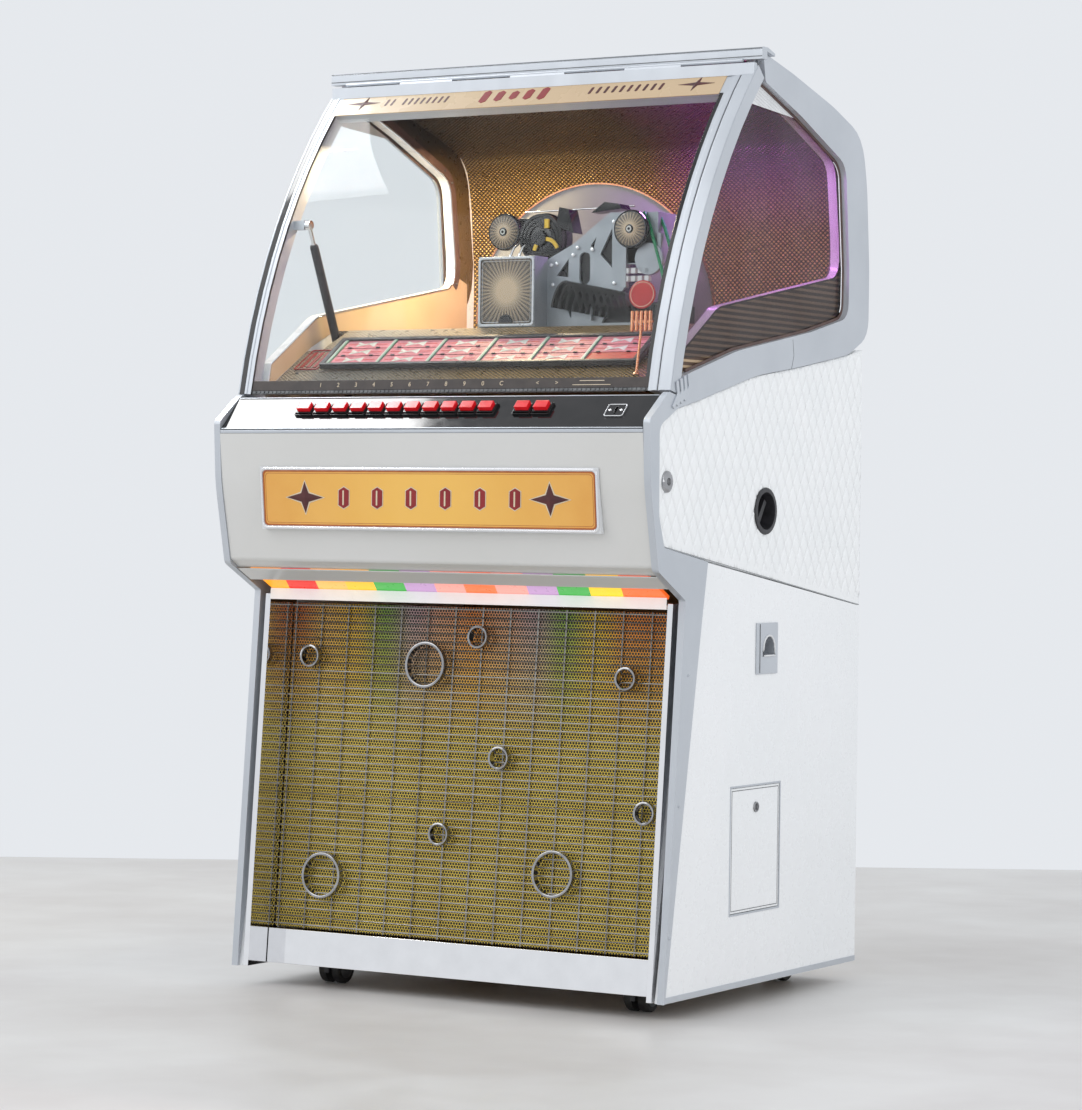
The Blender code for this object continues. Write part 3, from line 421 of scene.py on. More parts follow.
def black_film():
    made = Finish("black_disc_film", (0.012, 0.012, 0.014), 0.12, coat=0.5)
    made.dapple((0.009, 0.009, 0.011), (0.03, 0.028, 0.03), 0.01)
    return made.grain(0.08, 0.2, 0.004)


def black_rubber():
    made = Finish("black_rubber", (0.018, 0.018, 0.018), 0.62)
    made.dapple((0.014, 0.014, 0.014), (0.035, 0.033, 0.03), 0.015)
    made.grain(0.55, 0.75, 0.004)
    return made.emboss(made.noise(0.0008, 3), 0.0001)


def plywood():
    made = Finish("plywood", (0.36, 0.24, 0.13), 0.62)
    rings = made.noise(0.012, 5, (18, 1, 1.5))
    made.paint(made.mix(made.range(rings, 0, 1, 0.38, 0.62), (0.30, 0.19, 0.10), (0.44, 0.31, 0.18)))
    made.grain(0.55, 0.72, 0.006, (10, 1, 1))
    return made.emboss(rings, 0.0002)


def plain(name, low, high, roughness, size=0.02, metallic=0.0, coat=0.0, grit=0.0, glow=0.0):
    """A finish of one colour with a slow drift and a fine grain."""
    made = Finish(name, low, roughness, metallic=metallic, coat=coat, glow=glow)
    made.dapple(low, high, size)
    made.grain(roughness * 0.85, min(1.0, roughness * 1.25), size * 0.3)
    if grit:
        made.emboss(made.noise(grit, 3), grit * 0.08)
    return made


def ribbed_tan():
    """The skirt inside the side windows: tan, ruled with ribs along the cabinet, their grooves darkened brown
    as painted shade.
    """
    made = Finish("ribbed_tan", (0.48, 0.34, 0.20), 0.5)
    x, y, z = made.place()
    wave = made.calc("SINE", made.times(z, 2 * math.pi / 0.0095))
    rib = made.range(wave, 0, 1, -0.25, 0.45)
    tan = made.mix(made.range(made.noise(0.1), 0, 1, 0.35, 0.65), (0.50, 0.36, 0.22), (0.60, 0.44, 0.28))
    # Painted shade: the colour turns dark brown in the grooves between the ribs.
    made.paint(made.mix(rib, (0.10, 0.055, 0.035), tan))
    made.grain(0.42, 0.6, 0.01)
    return made.emboss(rib, 0.0010)


FINISHES = {
    "white_gloss": white_paint(), "white_quilted": quilted_vinyl(), "satin_silver": satin_silver(),
    "warm_white": warm_white(), "chrome": chrome(), "black_plastic": moulded_black(),
    "gloss_black": gloss_black(),
    "red_plastic": red_plastic(), "amber_acrylic": amber_acrylic(), "rainbow_diffuser": rainbow_diffuser(),
    "gold_mesh": perforated_gold(), "bronze_hood": bronze_hood(), "bronze_deck": bronze_deck(),
    "clear_glass": pane("clear_glass", (0.97, 0.98, 0.98), 0.22),
    "smoked_glass": pane("smoked_glass", (0.66, 0.63, 0.63), 0.7),
    "card_pink": printed_card("pink_card", (0.62, 0.20, 0.24), (0.30, 0.02, 0.05)),
    "card_red": printed_card("red_card", (0.55, 0.03, 0.02), (0.25, 0.01, 0.01)),
    "card_white": plain("white_card", (0.60, 0.62, 0.58), (0.70, 0.70, 0.66), 0.45),
    "card_green": plain("green_divider", (0.20, 0.36, 0.27), (0.30, 0.46, 0.36), 0.4),
    "rack_grey": plain("rack_grey", (0.035, 0.035, 0.038), (0.06, 0.058, 0.06), 0.3, coat=0.3, grit=0.002),
    "grille_steel": plain("grille_steel", (0.26, 0.25, 0.24), (0.34, 0.33, 0.31), 0.28, metallic=1.0),
    "ring_chrome": plain("ring_chrome", (0.34, 0.34, 0.35), (0.44, 0.44, 0.45), 0.10, metallic=1.0),
    "disc_red": plain("disc_red", (0.46, 0.014, 0.016), (0.54, 0.02, 0.02), 0.35),
    "line_grey": plain("line_grey", (0.30, 0.31, 0.32), (0.36, 0.37, 0.38), 0.5),
    "grey_metal": cast_grey(), "cast_bright": plain("bright_cover_frame", (0.52, 0.54, 0.56),
                                                    (0.60, 0.62, 0.64), 0.3,
                                                    metallic=0.7),
    "pale_grey": pale_grey(), "disc_film": black_film(), "rubber": black_rubber(),
    "plywood": plywood(), "tan": plain("tan_board", (0.56, 0.40, 0.24), (0.62, 0.46, 0.29), 0.45, 0.06,
                                       grit=0.003),
    "ribbed_tan": ribbed_tan(),
    # The header's tan has a faint glow: painted light.
    "header_tan": plain("header_tan", (0.60, 0.44, 0.27), (0.66, 0.50, 0.31), 0.26, 0.2, coat=0.2, glow=0.06),
    "maroon": plain("maroon_ink", (0.06, 0.010, 0.012), (0.10, 0.016, 0.016), 0.35),
    "red_ink": plain("red_ink", (0.24, 0.010, 0.014), (0.31, 0.016, 0.018), 0.35),
    "cream_ink": plain("cream_ink", (0.70, 0.58, 0.40), (0.78, 0.66, 0.48), 0.4),
    "brown_gasket": plain("brown_gasket", (0.085, 0.045, 0.038), (0.13, 0.075, 0.06), 0.4, grit=0.003),
    "strip_brown": plain("strip_brown", (0.030, 0.021, 0.018), (0.046, 0.033, 0.028), 0.35),
    "belt_green": plain("belt_green", (0.01, 0.20, 0.08), (0.02, 0.30, 0.12), 0.5, grit=0.002),
    "copper": plain("copper", (0.72, 0.30, 0.16), (0.80, 0.38, 0.22), 0.25, metallic=1.0),
    "yellow": plain("yellow_plastic", (0.80, 0.50, 0.03), (0.88, 0.60, 0.06), 0.35),
    "cover_rays": sunburst("cover_rays", COVER_MIDDLE[0], COVER_MIDDLE[1], 0.072, 44),
    "left_rays": sunburst("left_roller_rays", LEFT_ROLLER.x, LEFT_ROLLER.z, 0.036, 26),
    "right_rays": sunburst("right_roller_rays", RIGHT_ROLLER.x, RIGHT_ROLLER.z, 0.036, 26),
    "sign_edge": plain("sign_edge", (0.42, 0.10, 0.012), (0.50, 0.14, 0.02), 0.2, coat=0.4),
    "pale_plastic": plain("pale_plastic", (0.70, 0.71, 0.72), (0.76, 0.77, 0.78), 0.35),
    "dark_metal": plain("dark_metal", (0.10, 0.105, 0.11), (0.16, 0.165, 0.17), 0.4, metallic=0.6),
    "lintel_white": plain("lit_lintel", (0.80, 0.80, 0.78), (0.86, 0.86, 0.84), 0.3, glow=0.25),
    "seam_dark": plain("seam_shadow", (0.03, 0.03, 0.034), (0.05, 0.05, 0.055), 0.6),
}

NODE_FINISH = {
    "back_panel": "plywood", "base_board": "plywood", "backdrop": "pale_grey", "belly_panel": "warm_white",
    "canopy_shell": "bronze_hood", "deck": "bronze_deck", "control_panel": "gloss_black",
    "title_rack": "rack_grey",
    "grip_cup": "black_plastic", "turn_knob": "black_plastic", "strut_cylinder": "black_plastic",
    "sign_panel": "pale_plastic", "lid_lock": "ring_chrome", "cash_lock": "ring_chrome",
}


def finish_nodes():
    """Gives each CAD node its finish, soft edges and smooth rounds."""
    for name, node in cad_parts.items():
        cad_slot = node.data.materials[0].name.split(".")[0]
        key = NODE_FINISH.get(name, cad_slot)
        node.data.materials.clear()
        node.data.materials.append(FINISHES[key].material)
        soften(node, EDGE_WIDTHS.get(name, 0.0006))


# How far each node's edges are softened, where it isn't the usual width.
EDGE_WIDTHS = {
    "left_trim_frame": 0.0016, "right_trim_frame": 0.0016, "belly_panel": 0.0010, "lid_frame": 0.0014,
    "top_rail": 0.0008, "title_rack": 0.0014, "mechanism_frame": 0.0009, "control_panel": 0.0007,
    "left_side_board": 0.0010, "right_side_board": 0.0010, "cash_door": 0.0010,
}


def soften(obj, width):
    """Rounds an object's sharp edges and shades its rounds smooth, by modifiers alone."""
    obj.data.polygons.foreach_set("use_smooth", [True] * len(obj.data.polygons))
    weld = obj.modifiers.new("weld", "WELD")
    weld.merge_threshold = 1e-5
    if width:
        bevel = obj.modifiers.new("soft_edges", "BEVEL")
        bevel.width = width
        bevel.segments = 2
        bevel.limit_method = "ANGLE"
        bevel.angle_limit = math.radians(32)
        bevel.harden_normals = False
    weighted = obj.modifiers.new("even_normals", "WEIGHTED_NORMAL")
    weighted.keep_sharp = True


# ---------------------------------------------------------------- mesh tools

def add_block(bm, low, high, move=None):
    """A box between two corners, put in place by a matrix."""
    made = bmesh.ops.create_cube(bm, size=1.0)["verts"]
    low, high = Vector(low), Vector(high)
    for v in made:
        v.co = Vector(l + (h - l) * (c + 0.5) for l, h, c in zip(low, high, v.co))
    if move is not None:
        bmesh.ops.transform(bm, matrix=move, verts=made)
    return made


def add_prism(bm, outline, low, high, place):
    """An outline (a list of 2-D points) drawn from low to high. place turns (a, b, height) into a point."""
    rings = [[bm.verts.new(place(a, b, h)) for a, b in outline] for h in (low, high)]
    bm.faces.new(rings[0][::-1])
    bm.faces.new(rings[1])
    for k in range(len(outline)):
        n = (k + 1) % len(outline)
        bm.faces.new((rings[0][k], rings[0][n], rings[1][n], rings[1][k]))


def add_tube(bm, path, radius, sides=8, closed=False):
    """A round tube along a path of points."""
    path = [Vector(p) for p in path]
    rings = []
    count = len(path)
    for k, p in enumerate(path):
        ahead = path[(k + 1) % count] if closed or k < count - 1 else p
        behind = path[k - 1] if closed or k > 0 else p
        way = (ahead - behind).normalized()
        side = way.cross(Vector((0, 0, 1)))
        side = side.normalized() if side.length > 0.01 else way.cross(Vector((0, 1, 0))).normalized()
        up = side.cross(way)
        rings.append([bm.verts.new(p + radius * (side * math.cos(a) + up * math.sin(a)))
                      for a in (2 * math.pi * s / sides for s in range(sides))])
    pairs = list(zip(rings, rings[1:])) + ([(rings[-1], rings[0])] if closed else [])
    for one, two in pairs:
        for s in range(sides):
            n = (s + 1) % sides
            bm.faces.new((one[s], one[n], two[n], two[s]))
    if not closed:
        bm.faces.new(rings[0][::-1])
        bm.faces.new(rings[-1])


def add_lathe(bm, profile, centre, axis, steps=40, closed=False):
    """Turns a profile of (radius, height) points about an axis through centre."""
    turn = Vector((0, 0, 1)).rotation_difference(Vector(axis)).to_matrix()
    rings = []
    for r, h in profile:
        if r < 1e-6:
            rings.append([bm.verts.new(Vector(centre) + turn @ Vector((0, 0, h)))])
        else:
            rings.append([bm.verts.new(Vector(centre) + turn @ Vector((r * math.cos(a), r * math.sin(a), h)))
                          for a in (2 * math.pi * s / steps for s in range(steps))])
    pairs = list(zip(rings, rings[1:])) + ([(rings[-1], rings[0])] if closed else [])
    for one, two in pairs:
        for s in range(steps):
            n = (s + 1) % steps
            corners = [one[s % len(one)], one[n % len(one)], two[n % len(two)], two[s % len(two)]]
            bm.faces.new(list(dict.fromkeys(corners)))
    if not closed:
        for ring in (rings[0], rings[-1]):
            if len(ring) > 1:
                bm.faces.new(ring)


def piece(name, bm, finish, body="cabinet", slot=None, bevel=0.0, segments=2, angle=35):
    """Makes an object of a mesh built in the cabinet's frame, finishes it and sets it riding on a body."""
    bmesh.ops.recalc_face_normals(bm, faces=bm.faces)
    bm.transform(TO_WORLD)
    mesh = bpy.data.meshes.new(name)
    bm.to_mesh(mesh)
    bm.free()
    made = bpy.data.objects.new(name, mesh)
    bpy.context.scene.collection.objects.link(made)
    mesh.materials.append(FINISHES[finish].material)
    mesh.polygons.foreach_set("use_smooth", [True] * len(mesh.polygons))
    if bevel:
        soft = made.modifiers.new("soft_edges", "BEVEL")
        soft.width = bevel
        soft.segments = segments
        soft.limit_method = "ANGLE"
        soft.angle_limit = math.radians(angle)
        weighted = made.modifiers.new("even_normals", "WEIGHTED_NORMAL")
        weighted.keep_sharp = True
    else:
        mesh.set_sharp_from_angle(angle=math.radians(angle))
    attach(made, body)
    return made


def rounded(points):
    """An outline from (a, b, corner radius) points, with each corner as an arc."""
    made = []
    count = len(points)
    for k, (a, b, r) in enumerate(points):
        here = Vector((a, b))
        if r <= 0:
            made.append(here)
            continue
        back = (Vector(points[k - 1][:2]) - here).normalized()
        ahead = (Vector(points[(k + 1) % count][:2]) - here).normalized()
        half = back.angle(ahead) / 2
        reach = r / math.tan(half)
        centre = here + (back + ahead).normalized() * (r / math.sin(half))
        start, end = here + back * reach - centre, here + ahead * reach - centre
        turn = start.angle_signed(end)
        steps = max(3, int(abs(turn) / math.radians(12)))
        for s in range(steps + 1):
            t = -turn * s / steps
            made.append(centre + Vector((start.x * math.cos(t) - start.y * math.sin(t),
                                         start.x * math.sin(t) + start.y * math.cos(t))))
    return made


def add_band(bm, outer, inner, low, high, place):
    """A flat ring between two outlines with the same number of points."""
    rings = [[[bm.verts.new(place(a, b, h)) for a, b in loop] for loop in (outer, inner)]
             for h in (low, high)]
    (lo_out, lo_in), (hi_out, hi_in) = rings
    for k in range(len(outer)):
        n = (k + 1) % len(outer)
        bm.faces.new((hi_out[k], hi_out[n], hi_in[n], hi_in[k]))
        bm.faces.new((lo_out[n], lo_out[k], lo_in[k], lo_in[n]))
        bm.faces.new((lo_out[k], lo_out[n], hi_out[n], hi_out[k]))
        bm.faces.new((lo_in[n], lo_in[k], hi_in[k], hi_in[n]))


def star(reach_x, reach_y, waist):
    """A four-pointed star's outline."""
    points = []
    for k in range(4):
        a = math.pi / 2 * k
        points.append((reach_x * math.cos(a), reach_y * math.sin(a)))
        points.append((waist * math.cos(a + math.pi / 4), waist * math.sin(a + math.pi / 4)))
    return points


# ---------------------------------------------------------------- front: grille

def lean(x, y, z):
    """A point of the leaning front: y is the depth behind it and z the height along it."""
    front = Matrix.Translation((0, GRILLE_RECESS, 0)) @ Matrix.Rotation(-FRONT_LEAN, 4, "X")
    return front @ Vector((x, y, z))


RINGS = [(-0.097, 0.500, 0.0365), (-0.275, 0.149, 0.0365), (0.164, 0.178, 0.0365),
         (-0.324, 0.508, 0.0175), (0.000, 0.548, 0.0175), (0.276, 0.490, 0.0175),
         (0.052, 0.356, 0.0175), (-0.053, 0.229, 0.0175), (0.3225, 0.282, 0.0175)]


def add_grille():
    wide = INSIDE_X - 0.0006
    bm = bmesh.new()
    rows, row_y, row_radius = 40, -0.0052, 0.0011
    for k in range(rows):
        z = GRILLE_LOW + 0.006 + (GRILLE_HIGH - GRILLE_LOW - 0.010) * k / (rows - 1)
        add_tube(bm, [lean(-wide, row_y, z), lean(wide, row_y, z)], row_radius, 6)
    bars, bar_y, bar_radius = 15, -0.0030, 0.0012
    for k in range(bars):
        x = -0.364 + 0.728 * k / (bars - 1)
        add_tube(bm, [lean(x, bar_y, GRILLE_LOW), lean(x, bar_y, GRILLE_HIGH)], bar_radius, 6)
    wires = piece("grille_wires", bm, "grille_steel", slot="chrome", angle=60)
    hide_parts("grille_grid")
    bm = bmesh.new()
    for x, z, radius in RINGS:
        wall = 0.0032 if radius > 0.03 else 0.0026
        depth = 0.0125
        profile = [(radius - wall, 0), (radius, 0), (radius + 0.0012, depth * 0.5), (radius + 0.0008, depth),
                   (radius - wall * 0.5, depth + 0.0008), (radius - wall, depth),
                   (radius - wall + 0.0008, depth * 0.5)]
        add_lathe(bm, profile, lean(x, -0.0062, z), lean(0, -1, 0) - lean(0, 0, 0), 40, closed=True)
    piece("grille_rings", bm, "ring_chrome", slot="chrome", angle=50)


# ---------------------------------------------------------------- places and outlines

def across(a, b, h):
    """Place for an outline of (y, z) drawn along x."""
    return Vector((h, a, b))


def deep(a, b, h):
    """Place for an outline of (x, z) drawn along y."""
    return Vector((a, h, b))


def face(foot, head):
    """Place on a sloping face from its foot to its head, as (y, z): a across, b up the face, h out of it."""
    foot, head = Vector(foot), Vector(head)
    up = (head - foot).normalized()
    out = Vector((-up.y, up.x))

    def place(a, b, h):
        return Vector((a, *(foot + up * b + out * h)))
    return place


def span(side, a, b):
    """Two x places on one side of the cabinet, the lower first."""
    return sorted((side * a, side * b))


def rect(x0, x1, b0, b1, radius=0.0):
    return rounded([(x0, b0, radius), (x1, b0, radius), (x1, b1, radius), (x0, b1, radius)])


def offset(path, far):
    """The open path moved to its left, with mitred corners."""
    path = [Vector(p) for p in path]
    normals = []
    for a, b in zip(path, path[1:]):
        way = (b - a).normalized()
        normals.append(Vector((-way.y, way.x)))
    moved = [path[0] + normals[0] * far]
    for point, n0, n1 in zip(path[1:-1], normals, normals[1:]):
        mitre = (n0 + n1).normalized()
        moved.append(point + mitre * far / mitre.dot(n0))
    moved.append(path[-1] + normals[-1] * far)
    return moved


def ribbon(bm, path, near, far, low, high, place=across):
    """A strip beside an open path, from near to far on its left. Its quads follow the path."""
    one, two = offset(path, near), offset(path, far)
    rows = [[bm.verts.new(place(*p, h)) for p in line] for line in (one, two) for h in (low, high)]
    near_low, near_high, far_low, far_high = rows
    for k in range(len(path) - 1):
        for a, b in ((near_low, near_high), (near_high, far_high), (far_high, far_low), (far_low, near_low)):
            bm.faces.new((a[k], a[k + 1], b[k + 1], b[k]))
    for k in (0, -1):
        bm.faces.new((near_low[k], near_high[k], far_high[k], far_low[k]))


def strip(name, finish, path, near, far, low, high, place=across, **options):
    """A piece that is one ribbon."""
    bm = bmesh.new()
    ribbon(bm, path, near, far, low, high, place)
    piece(name, bm, finish, **options)


def slab(name, finish, outline, low, high, place, **options):
    """A piece that is one prism."""
    bm = bmesh.new()
    add_prism(bm, outline, low, high, place)
    piece(name, bm, finish, **options)


def lozenge(x, b, half_x, half_b, slant=0.0):
    """A slanted six-sided bar: a plain stand-in for a letter."""
    nib = half_x * 0.55
    points = [(-half_x, -half_b + nib), (0, -half_b), (half_x, -half_b + nib), (half_x, half_b - nib),
              (0, half_b), (-half_x, half_b - nib)]
    return [(x + p + slant * q, b + q) for p, q in points]


def slanted_star(x, b, reach_x, reach_b, waist, slant=0.0):
    return [(x + p + slant * q, b + q) for p, q in star(reach_x, reach_b, waist)]


def add_star(bm, x, b, reach_x, reach_b, waist, low, high, place, slant=0.0):
    """A four-pointed star with ridges that rise to its middle."""
    rim = slanted_star(x, b, reach_x, reach_b, waist, slant)
    foot = [bm.verts.new(place(*p, low)) for p in rim]
    edge = [bm.verts.new(place(*p, low + (high - low) * 0.35)) for p in rim]
    top = bm.verts.new(place(x, b, high))
    for k in range(len(rim)):
        n = (k + 1) % len(rim)
        bm.faces.new((foot[k], foot[n], edge[n], edge[k]))
        bm.faces.new((edge[k], edge[n], top))
    bm.faces.new(foot[::-1])


def add_text(bm, text, size, x, b, low, high, place):
    """A digit or a plain symbol as a thin raised shape."""
    curve = bpy.data.curves.new("digit", "FONT")
    curve.body, curve.size, curve.extrude = text, size, 0.5
    curve.align_x, curve.align_y = "CENTER", "CENTER"
    holder = bpy.data.objects.new("digit", curve)
    bpy.context.scene.collection.objects.link(holder)
    bpy.context.view_layer.update()
    mesh = bpy.data.meshes.new_from_object(holder.evaluated_get(bpy.context.evaluated_depsgraph_get()))
    verts = [bm.verts.new(place(x + v.co.x, b + v.co.y, low + (v.co.z + 0.5) * (high - low)))
             for v in mesh.vertices]
    for polygon in mesh.polygons:
        bm.faces.new([verts[k] for k in polygon.vertices])
    bpy.data.objects.remove(holder)
    bpy.data.meshes.remove(mesh)


def add_screw(bm, centre, axis, radius):
    """A domed screw head with a recess."""
    profile = [(radius, 0), (radius, radius * 0.25), (radius * 0.8, radius * 0.55),
               (radius * 0.42, radius * 0.66),
               (radius * 0.36, radius * 0.40), (0, radius * 0.35)]
    add_lathe(bm, profile, centre, axis, 16)


def window_path():
    """The trims' window edge, from the top front round the back to the lid's foot, as (y, z)."""
    return rounded([(0.2985, 1.4370, 0), (0.424, 1.396, 0), (0.5905, 1.332, 0.040), (0.6075, 1.160, 0),
                    (0.6065, 1.0790, 0.030), (0.470, 1.0487, 0), (0.216, 1.0066, 0), (0.0625, 0.966, 0)])


def clear_path():
    """The boards' window edge, which stands higher along the bottom."""
    return rounded([(0.2985, 1.4360, 0), (0.424, 1.395, 0), (0.583, 1.334, 0.040), (0.603, 1.190, 0),
                    (0.600, 1.1480, 0.030), (0.178, 1.0735, 0.06), (0.0450, 0.9880, 0)])


def lid_back(inset, steps=10):
    """The lid's curved side, from foot to head, moved back by an inset, as (y, z)."""
    chord = LID_HEAD - LID_FOOT
    left = Vector((-chord.y, chord.x)).normalized()
    centre = (LID_FOOT + LID_HEAD) / 2 - left * math.sqrt(LID_RADIUS ** 2 - (chord.length / 2) ** 2)
    first, last = math.atan2(*(LID_FOOT - centre).yx), math.atan2(*(LID_HEAD - centre).yx)
    angles = [first + (last - first) * k / steps for k in range(steps + 1)]
    return [centre + Vector((math.cos(a), math.sin(a))) * (LID_RADIUS - inset) for a in angles]


# ---------------------------------------------------------------- quilted sides

QUILT_WIDE, QUILT_TALL = 0.028, 0.050
QUILT_STEPS = (0.0, 0.04, 0.12, 0.35, 0.65, 0.88, 0.96)
QUILT_TOP, QUILT_VALLEY, QUILT_BACK = 0.4020, 0.3993, 0.3890
LIP_FOOT, LIP_UP = Vector((-0.0146, 0.6978)), Vector((0.1425, 0.9898))


def quilt_rise(s, t, y, z):
    """How far a point of the quilting stands out, from 0 in a crease to 1 on a pillow's top."""
    pillow = 1 - (1 - min(1.0, min(s, 1 - s, t, 1 - t) / 0.35)) ** 7
    above = (Vector((y, z)) - LIP_FOOT).dot(LIP_UP)
    share = min(1.0, max(0.0, (above - 0.012) / 0.004))
    return share * pillow + (1 - share) * 0.55


def add_quilting(word, side):
    """Diamond quilting over one side, cut to the CAD panel's outline and holes."""
    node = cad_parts[f"{word}_quilted_panel"]
    cell = len(QUILT_STEPS)
    bm = bmesh.new()
    known = {}

    def point(i, j, s, t):
        key = (i * cell + s, j * cell + t)
        if key not in known:
            across_step, up_step = QUILT_STEPS[key[0] % cell], QUILT_STEPS[key[1] % cell]
            u, v = key[0] // cell + across_step, key[1] // cell + up_step
            y, z = QUILT_WIDE * (u + v) / 2, QUILT_TALL * (u - v) / 2
            rise = quilt_rise(across_step, up_step, y, z)
            known[key] = bm.verts.new((side * (QUILT_VALLEY + (QUILT_TOP - QUILT_VALLEY) * rise), y, z))
        return known[key]

    for i in range(8, 48):
        for j in range(-24, 15):
            y, z = QUILT_WIDE * (i + j + 1) / 2, QUILT_TALL * (i - j) / 2
            if -0.075 < y < 0.70 and 0.56 < z < 1.07:
                for s in range(cell):
                    for t in range(cell):
                        bm.faces.new((point(i, j, s, t), point(i, j, s + 1, t), point(i, j, s + 1, t + 1),
                                      point(i, j, s, t + 1)))
    grown = bmesh.ops.extrude_face_region(bm, geom=bm.faces[:])["geom"]
    for v in (g for g in grown if isinstance(g, bmesh.types.BMVert)):
        v.co.x = side * QUILT_BACK
    bmesh.ops.recalc_face_normals(bm, faces=bm.faces)
    bm.transform(TO_WORLD)
    field = bpy.data.meshes.new(f"{word}_field")
    bm.to_mesh(field)
    bm.free()
    tool = bmesh.new()
    tool.from_mesh(node.data)
    bmesh.ops.remove_doubles(tool, verts=tool.verts, dist=1e-5)
    for v in tool.verts:
        v.co.x = side * (0.41 if abs(v.co.x) > 0.395 else 0.3885)
    outline = bpy.data.meshes.new(f"{word}_outline")
    tool.to_mesh(outline)
    tool.free()
    base, cutter = (bpy.data.objects.new(m.name, m) for m in (field, outline))
    for obj in (base, cutter):
        bpy.context.scene.collection.objects.link(obj)
    keep = base.modifiers.new("cut", "BOOLEAN")
    keep.operation, keep.solver, keep.object = "INTERSECT", "MANIFOLD", cutter
    bpy.context.view_layer.update()
    cut = bpy.data.meshes.new_from_object(base.evaluated_get(bpy.context.evaluated_depsgraph_get()))
    bpy.data.objects.remove(base)
    bpy.data.objects.remove(cutter)
    bm = bmesh.new()
    bm.from_mesh(cut)
    bm.transform(TO_WORLD.inverted())
    made = piece(f"{word}_quilting", bm, "white_quilted", slot="white_quilted", angle=75)
    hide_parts(f"{word}_quilted_panel")
    edge = [LIP_FOOT + LIP_UP * 0.0002, Vector((BACK_Y, 0.5995)) + LIP_UP * 0.0002]
    strip(f"{word}_quilting_edge", "line_grey", edge, 0.0, 0.0011, *span(side, 0.3995, 0.4016))


# ---------------------------------------------------------------- sign, belly and key panel

def add_sign():
    place = face(SIGN_FOOT, SIGN_HEAD)
    bm = bmesh.new()
    for width, low, high in ((0.0040, -0.0004, 0.0016), (0.0022, 0.0014, 0.0024)):
        shift = (0.0065 - width) / 2
        outer = rect(-SIGN_HALF + shift, SIGN_HALF - shift, shift, SIGN_TALL - shift, 0.009)
        inner = rect(-SIGN_HALF + shift + width, SIGN_HALF - shift - width, shift + width,
                     SIGN_TALL - shift - width, 0.0065)
        add_band(bm, outer, inner, low, high, place)
    piece("sign_bezel", bm, "chrome", slot="chrome", bevel=0.0004)
    slab("sign_face", "amber_acrylic", rect(-0.3090, 0.3090, 0.0060, SIGN_TALL - 0.0060, 0.007), -0.0004,
         0.0002, place, slot="amber_acrylic")
    bm = bmesh.new()
    outer = rect(-0.3090, 0.3090, 0.0060, SIGN_TALL - 0.0060, 0.007)
    inner = rect(-0.3065, 0.3065, 0.0085, SIGN_TALL - 0.0085, 0.006)
    add_band(bm, outer, inner, -0.0004, 0.0010, place)
    outer = rect(-0.3045, 0.3045, 0.0105, SIGN_TALL - 0.0105, 0.006)
    inner = rect(-0.3037, 0.3037, 0.0113, SIGN_TALL - 0.0113, 0.0055)
    add_band(bm, outer, inner, -0.0004, 0.0004, place)
    piece("sign_border", bm, "sign_edge", bevel=0.0002)
    middle = 0.0515
    pale, dark, red = bmesh.new(), bmesh.new(), bmesh.new()
    for x in (-0.228, 0.228):
        add_prism(pale, slanted_star(x, middle, 0.0385, 0.0285, 0.0125), -0.0002, 0.0006, place)
        add_star(dark, x, middle, 0.0345, 0.0250, 0.0098, 0.0004, 0.0024, place)
    for k in range(6):
        x = -0.1535 + 0.0637 * k
        add_prism(pale, lozenge(x, middle, 0.0112, 0.0186, 0.06), -0.0002, 0.0006, place)
        add_prism(red, lozenge(x, middle, 0.0096, 0.0169, 0.06), 0.0004, 0.0013, place)
        add_prism(pale, lozenge(x - 0.0006, middle, 0.0014, 0.0120, 0.06), 0.0010, 0.0015, place)
    piece("sign_outlines", pale, "cream_ink")
    piece("sign_stars", dark, "maroon", angle=10)
    piece("sign_bars", red, "red_ink", bevel=0.0003)


def add_belly_trim():
    bar = [(-0.0600, 0.8703), (-0.0650, 0.8705), (-0.0652, 0.8752), (-0.0590, 0.8785)]
    slab("belly_top_strip", "satin_silver", bar, -TRIM_INNER_X + 0.0004, TRIM_INNER_X - 0.0004, across,
         slot="satin_silver", bevel=0.0006)
    strip("belly_chin", "warm_white", [(-0.0110, 0.6527), (0.0240, 0.6349)], -0.0024, -0.0003,
          -TRIM_INNER_X + 0.001, TRIM_INNER_X - 0.001, slot="warm_white", bevel=0.0005)
    for side, word in ((-1, "left"), (1, "right")):
        outline = [(0.0060, 0.0008), (0.6672, 0.0008), (0.6672, 0.0098), (0.0075, 0.0098)]
        slab(f"{word}_skirting", "satin_silver", outline, *span(side, SKIN_X, SKIN_X + 0.0012), across,
             slot="satin_silver", bevel=0.0004)


def panel_place(a, b, h):
    slope = Matrix.Rotation(PANEL_ANGLE, 3, "X")
    return PANEL_CENTRE + slope @ Vector((a, b, h))


